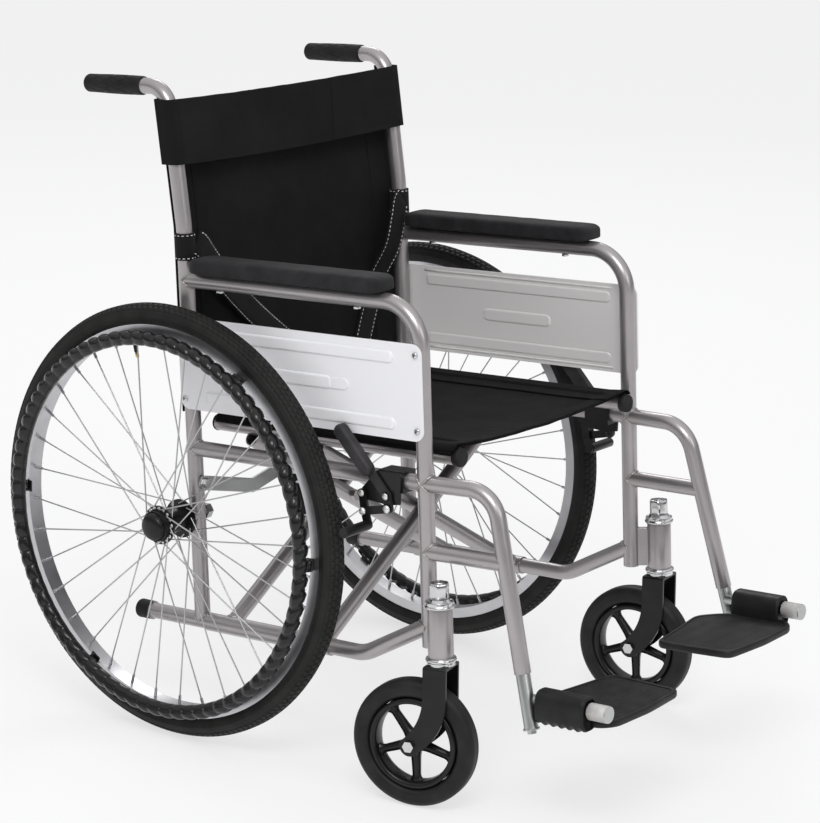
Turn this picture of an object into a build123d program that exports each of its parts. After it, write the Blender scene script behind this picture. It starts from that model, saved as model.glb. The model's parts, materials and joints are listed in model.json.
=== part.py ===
from build123d import *
import os
from math import asin, atan2, cos, degrees, radians, sin, sqrt

# A folding manual wheelchair. Row axes: +Z up, the chair faces -Y, the occupant's left is +X.
# The origin is on the ground, under the middle of the chair's bounding box.
# The chassis is raked, front higher, so its parts are placed by chassis measures:
# x across, f forward of the rear axle and z up, with the axle at f = 0, z = wheel_radius.
# side is -1 for the occupant's right and +1 for the left.

# Chassis
rake = radians(4.46)
axle_y = 197.5
wheel_radius = 305.0
half_width = 235.0
front_post_f = 405.0
tube_radius = 11.0
tube_bore = 9.5
weld_gap = 0.05
running_gap = 0.05
body_gap = 0.3

# Heights of the frame tubes
lower_rail_z = 150.0
lower_rail_rear_f = -112.0
lower_rail_bend_f = 293.0
lower_rail_front_z = 207.0
strut_z = 307.0
side_rail_z = 398.0
arm_z = 634.0
arm_bend = 58.0
front_post_bottom_z = 178.0

# Rear posts and push handles
post_lean_z = 705.0
handle_z = 896.0
handle_corner_f = -19.0
handle_end_f = -160.0
post_bends = [160, 34]
grip_front_f = -61.0
grip_rear_f = -169.0
grip_radius = 16.5

# Footrest hangers
hanger_corner = (225.0, 508.0)
hanger_end = (240.0, 558.0, 168.0)
hanger_bend = 45.0
extension_radius = 9.5
extension_bore = 8.0
extension_inside = 100.0
extension_bottom_z = 99.0
foot_hinge_x = 235.0
foot_hinge_z = 134.0
foot_lift = {-1: 0.0, 1: 18.0}
foot_rod_radius = 7.0
foot_cap_radius = 11.0
foot_cap_f = (659.0, 688.0)
knuckle_f = (582.0, 658.0)

# Rear wheels
wheel_x = 291.0
tyre_section = 17.5
tyre_wall = 3.5
rim_top = 277.0
rim_base = 262.0
rim_half = 12.0
rim_wall = 2.5
hand_rim_out = 33.0
hand_rim_radius = 261.0
hand_rim_section = 12.0
clip_count = 6
spoke_pairs = 18
spoke_radius = 1.0
nipple_radius = 2.0
nipple_length = 12.0
flange_radius = 27.0
flange_half = 1.5
flange_out = 22.0
flange_in = -21.0
axle_radius = 6.0

# Casters
stem_x = 257.0
stem_f = 439.0
caster_trail = 40.0
caster_radius = 87.0
caster_half = 15.0
caster_yaw = {-1: 13.85, 1: 7.7}
housing_radius = 17.0
housing_bore = 13.0
housing_z = (175.0, 242.0)
stem_radius = 6.0
caster_bolt = 4.0
fork_gap = 18.5
fork_wall = 3.5
crown_top = 110.0
crown_thickness = 4.0
cone_radius = 19.0

# Cross frame
seat_rail_x = 192.0
seat_rail_z = 427.0
seat_rail_f = (8.0, 424.0)
seat_rail_offset = 16.0
sleeve_radius = 12.8
sleeve_f = {-1: (13.0, 236.0), 1: (13.0, 212.0)}
cross_f = {-1: (52.0, 217.0), 1: (76.0, 193.0)}
pivot_bolt = 4.0
link_pivot_z = 350.0
link_reach = 90.0
link_f = 14.0
link_thickness = 4.0

# Brakes: chassis f and z of the four pivots, and distances out from the middle plane
lever_pivot = (355.0, 379.0)
shoe_pivot = (315.0, 379.0)
lever_link_pin = (358.0, 363.0)
shoe_link_pin = (317.0, 355.0)
roller_place = (322.0, 336.0)
lever_tip = (285.0, 459.0)
bracket_out = (249.0, 252.0)
lever_out = (252.4, 256.4)
link_out = (256.8, 259.8)
roller_out = (256.4, 306.0)

# Side panels, arm pads and upholstery
panel_out = (246.1, 248.6)
panel_f = (-8.0, 414.0)
panel_z = (456.0, 584.0)
panel_screw_z = (470.0, 570.0)
pad_f = (18.0, 353.0)
pad_z = (645.2, 668.0)
pad_width = 48.0
pad_screw_f = (60.0, 300.0)
back_z = (448.0, 862.0)
band_z = (792.0, 880.0)

forward = Vector(0, -cos(rake), sin(rake))
upward = Vector(0, sin(rake), cos(rake))
sideways = Vector(1, 0, 0)
axle_line = Axis((0, axle_y, wheel_radius), (1, 0, 0))
names = {-1: "right", 1: "left"}

os.makedirs("parts", exist_ok=True)


def at(x, f, z):
    """Row position of a chassis point."""
    return Vector(x, axle_y, wheel_radius) + forward * f + upward * (z - wheel_radius)


def level_plane(x, f, z):
    """Local x runs across, local y backward, local z up the chassis."""
    return Plane(origin=at(x, f, z), x_dir=sideways, z_dir=upward)


def side_plane(x):
    """Local x is f and local y is z. The normal points to the occupant's right."""
    return Plane(origin=at(x, 0, 0), x_dir=forward, z_dir=(-1, 0, 0))


def cross_plane(f):
    """Local x is x and local y is z. The normal points forward."""
    return Plane(origin=at(0, f, 0), x_dir=sideways, z_dir=forward)


def finish(name, builder):
    """Label a finished piece and write it."""
    builder.part.label = name
    export_step(builder.part, "parts/" + name + ".step")


def pipe(points, bends=None, outer=tube_radius, inner=tube_bore, mode=Mode.ADD):
    """A round bar along a bent line, hollow unless inner is 0."""
    with BuildLine() as centre:
        if bends:
            FilletPolyline(*points, radius=bends)
        else:
            Line(*points)
    with BuildSketch(Plane(origin=centre.line @ 0, z_dir=centre.line % 0)) as section:
        Circle(outer)
        if inner:
            Circle(inner, mode=Mode.SUBTRACT)
    sweep(sections=section.sketch, path=centre.line, mode=mode)


def cut_round(points, bends=None, radius=tube_radius):
    """Cope what is there around another tube, with the weld gap."""
    pipe(points, bends, outer=radius + weld_gap, inner=0, mode=Mode.SUBTRACT)


def post_line(side):
    x = side * half_width
    return [
        at(x, 0, lower_rail_z),
        at(x, 0, post_lean_z),
        at(x, handle_corner_f, handle_z),
        at(x, handle_end_f, handle_z),
    ]


def arm_line(side):
    x = side * half_width
    return [at(x, 0, arm_z), at(x, front_post_f, arm_z), at(x, front_post_f, front_post_bottom_z)]


def lower_rail_line(side):
    x = side * half_width
    return [
        at(x, lower_rail_rear_f, lower_rail_z),
        at(x, lower_rail_bend_f, lower_rail_z),
        at(x, front_post_f, lower_rail_front_z),
    ]


def hanger_line(side):
    return [
        at(side * half_width, front_post_f, side_rail_z),
        at(side * hanger_corner[0], hanger_corner[1], side_rail_z),
        at(side * hanger_end[0], hanger_end[1], hanger_end[2]),
    ]


def hanger_point(side, z):
    """A point on the hanger's straight lower leg, at height z."""
    x, f = hanger_corner
    part_way = (side_rail_z - z) / (side_rail_z - hanger_end[2])
    return at(side * (x + (hanger_end[0] - x) * part_way), f + (hanger_end[1] - f) * part_way, z)


def make_rear_post(side):
    with BuildPart() as post:
        pipe(post_line(side), post_bends)
        cut_round(lower_rail_line(side), [60])
        # axle hole, panel screw holes and the link bolt's hole
        with BuildSketch(side_plane(side * half_width)):
            with Locations((0, wheel_radius)):
                Circle(axle_radius + weld_gap)
        extrude(amount=2 * tube_radius, both=True, mode=Mode.SUBTRACT)
        with BuildSketch(side_plane(side * half_width)):
            with Locations(*[(0, z) for z in panel_screw_z]):
                Circle(2.1)
        extrude(amount=side * -2 * tube_radius, mode=Mode.SUBTRACT)
        with BuildSketch(cross_plane(0)):
            with Locations((side * half_width, link_pivot_z)):
                Circle(4.05)
        extrude(amount=2 * tube_radius, mode=Mode.SUBTRACT)
    finish("rear_post_" + names[side], post)


def make_arm_tube(side):
    with BuildPart() as arm:
        pipe(arm_line(side), [arm_bend])
        cut_round(post_line(side), post_bends)
        with BuildSketch(side_plane(side * half_width)):
            with Locations(*[(front_post_f, z) for z in panel_screw_z]):
                Circle(2.1)
        extrude(amount=side * -2 * tube_radius, mode=Mode.SUBTRACT)
        with BuildSketch(level_plane(side * half_width, 0, arm_z)):
            with Locations(*[(0, -f) for f in pad_screw_f]):
                Circle(2.6)
        extrude(amount=2 * tube_radius, both=True, mode=Mode.SUBTRACT)
    finish("arm_tube_" + names[side], arm)


def make_lower_rail(side):
    x = side * half_width
    cap_rear = lower_rail_rear_f - 4
    cap_front = lower_rail_rear_f + 18
    with BuildPart() as rail:
        pipe(lower_rail_line(side), [60])
        cut_round(arm_line(side), [arm_bend])
        # plastic cap over the rear end
        with BuildSketch(cross_plane(cap_rear)):
            with Locations((x, lower_rail_z)):
                Circle(tube_radius + 2)
        extrude(amount=lower_rail_rear_f - weld_gap - cap_rear)
        with BuildSketch(cross_plane(lower_rail_rear_f - weld_gap)):
            with Locations((x, lower_rail_z)):
                Circle(tube_radius + 2)
                Circle(tube_radius + weld_gap, mode=Mode.SUBTRACT)
        extrude(amount=cap_front - lower_rail_rear_f)
    finish("lower_rail_" + names[side], rail)


def make_side_rails(side):
    x = side * half_width
    with BuildPart() as rails:
        pipe([at(x, 0, side_rail_z), at(x, front_post_f, side_rail_z)])
        cut_round(post_line(side), post_bends)
        pipe([at(x, front_post_f, strut_z), hanger_point(side, strut_z)])
        cut_round(arm_line(side), [arm_bend])
        cut_round(hanger_line(side), [hanger_bend])
    finish("side_rails_" + names[side], rails)


def make_hanger(side):
    with BuildPart() as hanger:
        pipe(hanger_line(side), [hanger_bend], inner=extension_radius + running_gap)
        cut_round(arm_line(side), [arm_bend])
    finish("footrest_hanger_" + names[side], hanger)


def make_caster_housing(side):
    low, high = housing_z
    plate_z = (179.0, 234.0)
    plate_thickness = 10.0
    across = side * (stem_x - half_width)
    along = stem_f - front_post_f
    reach = sqrt(across**2 + along**2)
    turn = degrees(atan2(-along, across))
    with BuildPart() as housing:
        # welded bracket from the front post to the housing
        with BuildSketch(level_plane(side * half_width, front_post_f, plate_z[0])):
            with Locations(Location((across / 2, -along / 2), turn)):
                Rectangle(reach, plate_thickness)
        extrude(amount=plate_z[1] - plate_z[0])
        cut_round(arm_line(side), [arm_bend])
        with BuildSketch(level_plane(side * stem_x, stem_f, low)):
            Circle(housing_radius)
        extrude(amount=high - low)
        with BuildSketch(level_plane(side * stem_x, stem_f, low)):
            Circle(housing_bore)
        extrude(amount=high - low, mode=Mode.SUBTRACT)
    finish("caster_housing_" + names[side], housing)


def make_push_grip(side):
    x = side * half_width
    with BuildPart() as grip:
        with BuildSketch(cross_plane(grip_rear_f)):
            with Locations((x, handle_z)):
                Circle(grip_radius)
        extrude(amount=grip_front_f - grip_rear_f)
        rim = grip.edges().filter_by(GeomType.CIRCLE).group_by(Axis(at(0, 0, 0), forward))
        fillet(rim[0], 7)
        fillet(grip.edges().group_by(Axis(at(0, 0, 0), forward))[-1], 3)
        with BuildSketch(cross_plane(handle_end_f - body_gap)):
            with Locations((x, handle_z)):
                Circle(tube_radius + weld_gap)
        extrude(amount=grip_front_f - handle_end_f + 1, mode=Mode.SUBTRACT)
    finish("push_grip_" + names[side], grip)


def make_arm_pad(side):
    x = side * half_width
    low, high = pad_z
    length = pad_f[1] - pad_f[0]
    middle = (pad_f[0] + pad_f[1]) / 2
    with BuildPart() as pad:
        with BuildSketch(level_plane(x, middle, low)):
            RectangleRounded(pad_width, length, 17)
        extrude(amount=high - low)
        fillet(pad.edges().group_by(Axis(at(0, 0, 0), upward))[-1], 8)
        with BuildSketch(level_plane(x, 0, low)):
            with Locations(*[(0, -f) for f in pad_screw_f]):
                Circle(2.6)
        extrude(amount=12, mode=Mode.SUBTRACT)
    finish("arm_pad_" + names[side], pad)


def make_side_panel(side):
    low, high = panel_out
    length = panel_f[1] - panel_f[0]
    height = panel_z[1] - panel_z[0]
    middle = ((panel_f[0] + panel_f[1]) / 2, (panel_z[0] + panel_z[1]) / 2)
    rib_rise = 44.0
    with BuildPart() as panel:
        with BuildSketch(side_plane(side * low)):
            with Locations(middle):
                RectangleRounded(length, height, 14)
            with Locations(*[(f, z) for f in (0, front_post_f) for z in panel_screw_z]):
                Circle(2.1, mode=Mode.SUBTRACT)
        extrude(amount=side * (low - high))
        # pressed ribs: two long ones and a short one between them
        with BuildSketch(side_plane(side * high)):
            with Locations((middle[0], middle[1] - rib_rise), (middle[0], middle[1] + rib_rise)):
                SlotOverall(length - 90, 9)
            with Locations(middle):
                SlotOverall(length * 0.42, 14)
        extrude(amount=side * -1.5)
    finish("side_panel_" + names[side], panel)


def make_frame_fasteners(side):
    x = side * half_width
    with BuildPart() as fasteners:
        # panel screws
        with BuildSketch(side_plane(side * (panel_out[0] - 5))):
            with Locations(*[(f, z) for f in (0, front_post_f) for z in panel_screw_z]):
                Circle(2.0)
        extrude(amount=side * (panel_out[0] - 5 - panel_out[1]))
        with BuildSketch(side_plane(side * panel_out[1])):
            with Locations(*[(f, z) for f in (0, front_post_f) for z in panel_screw_z]):
                Circle(4.5)
        extrude(amount=side * -2)
        # arm pad screws, from below through the arm tube
        head_top = arm_z - tube_radius - weld_gap
        with BuildSketch(level_plane(x, 0, head_top - 3)):
            with Locations(*[(0, -f) for f in pad_screw_f]):
                Circle(5.0)
        extrude(amount=3)
        with BuildSketch(level_plane(x, 0, head_top)):
            with Locations(*[(0, -f) for f in pad_screw_f]):
                Circle(2.5)
        extrude(amount=pad_z[0] + 10 - head_top)
        # shoulder bolt that carries the stay link on the rear post
        with BuildSketch(cross_plane(6)):
            with Locations((x, link_pivot_z)):
                Circle(4.0)
        extrude(amount=link_f + link_thickness + body_gap - 6)
        with BuildSketch(cross_plane(link_f + link_thickness + body_gap)):
            with Locations((x, link_pivot_z)):
                RegularPolygon(7.0, 6)
        extrude(amount=5)
    finish("frame_fasteners_" + names[side], fasteners)


def make_wheel_axle(side):
    inner_face = half_width - tube_radius
    outer_face = half_width + tube_radius
    shaft_end = wheel_x + 34
    with BuildPart() as axle:
        with BuildSketch(side_plane(side * (inner_face - 14))):
            with Locations((0, wheel_radius)):
                Circle(axle_radius)
        extrude(amount=side * (inner_face - 14 - shaft_end))
        with BuildSketch(side_plane(side * (inner_face - 10))):
            with Locations((0, wheel_radius)):
                RegularPolygon(11, 6)
        extrude(amount=side * (body_gap - 10))
        # spacer between the post and the hub, and the outer nut under the hub cap
        with BuildSketch(side_plane(side * (outer_face + body_gap))):
            with Locations((0, wheel_radius)):
                Circle(10)
        extrude(amount=side * (outer_face + body_gap - (wheel_x - 30.4)))
        with BuildSketch(side_plane(side * (wheel_x + 28.6))):
            with Locations((0, wheel_radius)):
                RegularPolygon(11, 6)
        extrude(amount=side * -5)
    finish("wheel_axle_" + names[side], axle)


def wheel_section():
    """Section plane through the axle: local x is x, local y is the radius."""
    return Plane(origin=(0, axle_y, wheel_radius), x_dir=sideways, z_dir=forward)


def make_tyre(side):
    middle = (side * wheel_x, wheel_radius - tyre_section)
    with BuildPart() as tyre:
        with BuildSketch(wheel_section()):
            with Locations(middle):
                Circle(tyre_section)
                Circle(tyre_section - tyre_wall, mode=Mode.SUBTRACT)
            with Locations((side * wheel_x, rim_top + weld_gap - tyre_section)):
                Rectangle(4 * tyre_section, 2 * tyre_section, mode=Mode.SUBTRACT)
        revolve(axis=axle_line)
    finish("tyre_" + names[side], tyre)


def make_rim(side):
    depth = rim_top - rim_base
    with BuildPart() as rim:
        with BuildSketch(wheel_section()):
            with Locations((side * wheel_x, rim_base + depth / 2)):
                Rectangle(2 * rim_half, depth)
            with Locations((side * wheel_x, rim_top)):
                Rectangle(2 * (rim_half - rim_wall), 2 * (depth - rim_wall), mode=Mode.SUBTRACT)
        revolve(axis=axle_line)
    finish("rim_" + names[side], rim)


def wheel_point(side, out, radius, angle):
    """A point on the rear wheel: out from its middle plane, at a radius and an angle."""
    a = radians(angle)
    x = side * (wheel_x + out)
    return at(x, 0, wheel_radius) + forward * (radius * cos(a)) + upward * (radius * sin(a))


def spoke_lines(side, flange):
    """Start and end of each spoke of one flange, crossed three times."""
    lines = []
    for k in range(spoke_pairs):
        lean = 60 if k % 2 else -60
        head_side = flange_half + spoke_radius + weld_gap
        out = flange + (head_side if k % 2 else -head_side)
        rim_angle = k * 360 / spoke_pairs + (0 if flange > 0 else 180 / spoke_pairs)
        start = wheel_point(side, out, flange_radius - 5, rim_angle + lean)
        lines.append((start, wheel_point(side, 0, rim_base - weld_gap, rim_angle)))
    return lines


def make_spokes(side):
    with BuildPart() as spokes:
        for flange in (flange_out, flange_in):
            for parity in (0, 1):
                lines = spoke_lines(side, flange)[parity::2]
                length = (lines[0][1] - lines[0][0]).length
                with BuildSketch(*[Plane(origin=a, z_dir=b - a) for a, b in lines]):
                    Circle(spoke_radius)
                extrude(amount=length - nipple_length)
                ends = [Plane(origin=b, z_dir=a - b) for a, b in lines]
                with BuildSketch(*ends):
                    Circle(nipple_radius)
                extrude(amount=nipple_length)
    finish("spokes_" + names[side], spokes)


def make_hub(side):
    outline = [
        (-30, axle_radius + running_gap),
        (-30, 13),
        (flange_in - flange_half, 15),
        (flange_in - flange_half, flange_radius),
        (flange_in + flange_half, flange_radius),
        (flange_in + flange_half, 17),
        (flange_out - flange_half, 17),
        (flange_out - flange_half, flange_radius),
        (flange_out + flange_half, flange_radius),
        (flange_out + flange_half, 21),
        (36, 19),
        (40, 14),
        (42, 0),
        (38, 0),
        (38, 13.5),
        (28, 13.5),
        (28, axle_radius + running_gap),
    ]
    with BuildPart() as hub:
        with BuildSketch(wheel_section()):
            with BuildLine():
                Polyline(*[(side * (wheel_x + u), r) for u, r in outline], close=True)
            make_face()
        revolve(axis=axle_line)
    finish("hub_" + names[side], hub)


def make_hand_rim(side):
    clip_in = rim_half + weld_gap
    clip_out = hand_rim_out - hand_rim_section + 4
    clip_middle = (clip_in + clip_out) / 2
    clips = []
    for k in range(clip_count):
        foot = wheel_point(side, clip_middle, 257, 30 + k * 360 / clip_count)
        spoke = foot - wheel_point(side, clip_middle, 0, 0)
        clips.append(Plane(origin=foot, x_dir=sideways, z_dir=spoke))
    with BuildPart() as ring:
        with BuildSketch(wheel_section()):
            with Locations((side * (wheel_x + hand_rim_out), hand_rim_radius)):
                Circle(hand_rim_section)
        revolve(axis=axle_line)
        with BuildSketch(*clips):
            Rectangle(clip_out - clip_in, 16)
        extrude(amount=13)
    finish("hand_rim_" + names[side], ring)


def caster_wheel_z():
    """Chassis height of the caster's centre, so that it stands on the ground."""
    f = stem_f - caster_trail * cos(radians(caster_yaw[-1]))
    centre_height = caster_radius + 0.15
    return wheel_radius + (centre_height - wheel_radius - f * sin(rake)) / cos(rake)


def caster_plane(side, back=0, up=0):
    """Plane square to the stem at the wheel's height: local x across, y back, z up."""
    yaw = radians(caster_yaw[side])
    across = sideways * cos(yaw) - forward * sin(yaw)
    backward = -sideways * sin(yaw) - forward * cos(yaw)
    origin = at(side * stem_x, stem_f, caster_wheel_z()) + backward * back + upward * up
    return Plane(origin=origin, x_dir=across, z_dir=upward)


def caster_section(side):
    """Section plane through the caster's axle: local x across, local y up."""
    hub = caster_plane(side, back=caster_trail)
    return Plane(origin=hub.origin, x_dir=hub.x_dir, z_dir=-hub.y_dir)


def caster_profile(side, out):
    """Side view plane of the caster: local x forward of the stem, local y up."""
    base = caster_plane(side)
    return Plane(origin=base.origin + base.x_dir * out, x_dir=-base.y_dir, z_dir=-base.x_dir)


def caster_axis(side):
    hub = caster_plane(side, back=caster_trail)
    return Axis(hub.origin, hub.x_dir)


def make_caster_fork(side):
    cheek_x = fork_gap + fork_wall / 2
    with BuildPart() as fork:
        with BuildSketch(*[caster_profile(side, x) for x in (cheek_x, -cheek_x)]):
            with BuildLine():
                Line((-17, crown_top), (16, crown_top))
                Line((16, crown_top), (14, 60))
                ThreePointArc((14, 60), (0, 20), (-28, -8))
                ThreePointArc((-28, -8), (-43, -14), (-53, 6))
                ThreePointArc((-53, 6), (-27, 36), (-19, 66))
                Line((-19, 66), (-17, crown_top))
            make_face()
            with Locations((-caster_trail, 0)):
                Circle(caster_bolt + weld_gap, mode=Mode.SUBTRACT)
        extrude(amount=fork_wall / 2, both=True)
        with BuildSketch(caster_plane(side, up=crown_top - crown_thickness)):
            with Locations((0, 0.5)):
                Rectangle(2 * (fork_gap + fork_wall), 33)
        extrude(amount=crown_thickness)
        outer = fork.edges().filter_by(Axis(caster_plane(side).origin, caster_plane(side).y_dir))
        top = outer.group_by(Axis(caster_plane(side).origin, caster_plane(side).z_dir))[-1]
        fillet(top, 3.5)
    finish("caster_fork_" + names[side], fork)


def make_caster_hardware(side):
    """The stem with its bearing cones and nut, and the axle bolt."""
    base_z = caster_wheel_z()
    low = housing_z[0] - base_z
    high = housing_z[1] - base_z
    bolt_reach = fork_gap + fork_wall + weld_gap
    with BuildPart() as hardware:
        with BuildSketch(caster_plane(side, up=crown_top + weld_gap)):
            Circle(stem_radius)
        extrude(amount=high + 20 - crown_top)
        with BuildSketch(caster_plane(side, up=crown_top + weld_gap)):
            Circle(cone_radius)
        extrude(amount=low - body_gap - crown_top)
        with BuildSketch(caster_plane(side, up=high + body_gap)):
            Circle(cone_radius)
        extrude(amount=8)
        with BuildSketch(caster_plane(side, up=high + body_gap + 8)):
            RegularPolygon(12, 6)
        extrude(amount=8)
        with BuildSketch(caster_plane(side, up=high + body_gap + 16)):
            Circle(10.5)
        extrude(amount=16)
        with BuildSketch(caster_profile(side, 0)):
            with Locations((-caster_trail, 0)):
                Circle(caster_bolt)
        extrude(amount=bolt_reach + 1, both=True)
        for out in (bolt_reach, -bolt_reach):
            with BuildSketch(caster_profile(side, out)):
                with Locations((-caster_trail, 0)):
                    RegularPolygon(8, 6)
            extrude(amount=-5 if out > 0 else 5)
    finish("caster_hardware_" + names[side], hardware)


def make_caster_tyre(side):
    with BuildPart() as tyre:
        with BuildSketch(caster_section(side)):
            with Locations((0, caster_radius - 12.5)):
                RectangleRounded(2 * caster_half, 25, 10)
        revolve(axis=caster_axis(side))
    finish("caster_tyre_" + names[side], tyre)


def make_caster_wheel(side):
    tyre_seat = caster_radius - 25 - weld_gap
    hub_radius = 13.0
    spoke_count = 5
    middle = caster_plane(side, back=caster_trail)
    spokes = []
    for k in range(spoke_count):
        a = radians(18 + k * 360 / spoke_count)
        spokes.append(
            Plane(
                origin=middle.origin,
                x_dir=middle.x_dir,
                z_dir=middle.z_dir * cos(a) - middle.y_dir * sin(a),
            )
        )
    with BuildPart() as wheel:
        with BuildSketch(caster_section(side)):
            with Locations((0, tyre_seat - 3.5)):
                Rectangle(26, 7)
            with Locations((0, hub_radius / 2)):
                Rectangle(34, hub_radius)
        revolve(axis=caster_axis(side))
        with BuildSketch(*spokes):
            Rectangle(12, 9)
        extrude(amount=tyre_seat - 4)
        with BuildSketch(caster_section(side)):
            with Locations((0, (caster_bolt + running_gap) / 2)):
                Rectangle(40, caster_bolt + running_gap)
        revolve(axis=caster_axis(side), mode=Mode.SUBTRACT)
    finish("caster_wheel_" + names[side], wheel)


def make_footrest_tube(side):
    lift = foot_lift[side]
    bottom = hanger_point(side, extension_bottom_z + lift)
    end = hanger_point(side, hanger_end[2])
    down = (bottom - end).normalized()
    hinge_z = foot_hinge_z + lift
    x = side * foot_hinge_x
    rod_start = hanger_end[1] + 8
    with BuildPart() as extension:
        # hinge rod with a plastic cap at its front end
        with BuildSketch(cross_plane(rod_start)):
            with Locations((x, hinge_z)):
                Circle(foot_rod_radius)
        extrude(amount=foot_cap_f[0] - rod_start)
        with BuildSketch(cross_plane(foot_cap_f[0])):
            with Locations((x, hinge_z)):
                Circle(foot_cap_radius)
        extrude(amount=foot_cap_f[1] - foot_cap_f[0])
        pipe([end - down * extension_inside, bottom], outer=extension_radius, inner=0)
        bore = [end - down * extension_inside, bottom - down * 4]
        pipe(bore, outer=extension_bore, inner=0, mode=Mode.SUBTRACT)
        # washer and clamp bolt at the bottom
        with BuildSketch(Plane(origin=bottom, z_dir=down)):
            Circle(extension_radius + 1.5)
        extrude(amount=2.5)
        with BuildSketch(Plane(origin=bottom + down * 2.5, z_dir=down)):
            RegularPolygon(6.5, 6)
        extrude(amount=5)
    finish("footrest_tube_" + names[side], extension)


def make_footplate(side):
    hinge_z = foot_hinge_z + foot_lift[side]
    x = side * foot_hinge_x
    plate_top = hinge_z - 14
    plate_thickness = 10.0
    knuckle_middle = (x, hinge_z - 5.5)
    # plate outline from its outer rear corner: distance from the middle plane, then f
    outline = [
        (228, 600),
        (212, 568),
        (186, 545),
        (80, 545),
        (66, 560),
        (66, 668),
        (82, 680),
        (205, 674),
        (228, 655),
    ]
    with BuildPart() as plate:
        with BuildSketch(level_plane(0, 0, plate_top - plate_thickness)):
            with BuildLine():
                Polyline(*[(side * px, -pf) for px, pf in outline], close=True)
            make_face()
        extrude(amount=plate_thickness)
        upright = plate.edges().filter_by(Axis(at(0, 0, 0), upward))
        fillet(upright, 6)
        # rounded hinge block around the rod
        with BuildSketch(cross_plane(knuckle_f[0])):
            with Locations(knuckle_middle):
                RectangleRounded(35, 47, 15)
        extrude(amount=knuckle_f[1] - knuckle_f[0])
        with BuildSketch(cross_plane(knuckle_f[0])):
            with Locations((x, hinge_z)):
                Circle(foot_rod_radius + running_gap)
        extrude(amount=knuckle_f[1] - knuckle_f[0] + 30, mode=Mode.SUBTRACT)
    finish("footplate_" + names[side], plate)


def make_brake_bracket(side):
    rail = (side * half_width, side_rail_z)
    clamp_f = (338.0, 378.0)
    low, high = bracket_out
    hug = tube_radius + weld_gap
    with BuildPart() as bracket:
        # saddle over the side rail
        with BuildSketch(cross_plane(clamp_f[0])):
            with Locations(rail):
                Rectangle(2 * hug + 6, 2 * hug + 6)
                Circle(hug, mode=Mode.SUBTRACT)
        extrude(amount=clamp_f[1] - clamp_f[0])
        # plate that carries the two fixed pivots
        with BuildSketch(side_plane(side * low)):
            with BuildLine():
                Polyline(
                    (clamp_f[0], side_rail_z + 13),
                    (clamp_f[1], side_rail_z + 13),
                    (clamp_f[1] - 4, lever_pivot[1] - 10),
                    (lever_pivot[0], lever_pivot[1] - 13),
                    (shoe_pivot[0], shoe_pivot[1] - 9),
                    (shoe_pivot[0] - 9, shoe_pivot[1]),
                    (shoe_pivot[0], shoe_pivot[1] + 9),
                    close=True,
                )
            make_face()
        extrude(amount=side * (low - high))
        for pivot, radius in ((lever_pivot, 4.0), (shoe_pivot, 4.0)):
            with BuildSketch(side_plane(side * low)):
                with Locations(pivot):
                    Circle(radius)
            extrude(amount=side * (low - lever_out[1] - body_gap))
            with BuildSketch(side_plane(side * (lever_out[1] + body_gap))):
                with Locations(pivot):
                    Circle(radius + 2)
            extrude(amount=side * -2)
    finish("brake_bracket_" + names[side], bracket)


def rounded_bar(start, end, width):
    """A flat bar's outline with round ends, inside an open sketch."""
    along = (end[0] - start[0], end[1] - start[1])
    length = sqrt(along[0] ** 2 + along[1] ** 2)
    middle = ((start[0] + end[0]) / 2, (start[1] + end[1]) / 2)
    with Locations(Location(middle, degrees(atan2(along[1], along[0])))):
        SlotOverall(length + width, width)


def make_brake_lever(side):
    low, high = lever_out
    grip_start = (
        lever_pivot[0] + 0.42 * (lever_tip[0] - lever_pivot[0]),
        lever_pivot[1] + 0.42 * (lever_tip[1] - lever_pivot[1]),
    )
    with BuildPart() as lever:
        with BuildSketch(side_plane(side * low)):
            rounded_bar(lever_pivot, lever_tip, 13)
            rounded_bar(lever_link_pin, lever_pivot, 13)
            with Locations(lever_pivot):
                Circle(4.0 + running_gap, mode=Mode.SUBTRACT)
            with Locations(lever_link_pin):
                Circle(3.0 + running_gap, mode=Mode.SUBTRACT)
        extrude(amount=side * (low - high))
        with BuildSketch(side_plane(side * (low + 0.1))):
            rounded_bar(grip_start, lever_tip, 19)
        extrude(amount=side * -13)
        fillet(lever.faces().sort_by(Axis(at(0, 0, 0), (side, 0, 0)))[-1].edges(), 5)
    finish("brake_lever_" + names[side], lever)


def make_brake_link(side):
    low, high = link_out
    pin_low = lever_out[0] + 0.2
    with BuildPart() as link:
        with BuildSketch(side_plane(side * low)):
            rounded_bar(shoe_link_pin, lever_link_pin, 11)
        extrude(amount=side * (low - high))
        with BuildSketch(side_plane(side * pin_low)):
            with Locations(shoe_link_pin, lever_link_pin):
                Circle(3.0)
        extrude(amount=side * (pin_low - high - 2))
    finish("brake_link_" + names[side], link)


def make_brake_shoe(side):
    low, high = lever_out
    with BuildPart() as shoe:
        with BuildSketch(side_plane(side * low)):
            rounded_bar(shoe_pivot, shoe_link_pin, 12)
            rounded_bar(shoe_link_pin, roller_place, 12)
            with Locations(shoe_pivot):
                Circle(4.0 + running_gap, mode=Mode.SUBTRACT)
            with Locations(shoe_link_pin):
                Circle(3.6, mode=Mode.SUBTRACT)
        extrude(amount=side * (low - high))
        with BuildSketch(side_plane(side * roller_out[0])):
            with Locations(roller_place):
                Circle(7.0)
        extrude(amount=side * (roller_out[0] - roller_out[1]))
    finish("brake_shoe_" + names[side], shoe)


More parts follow.
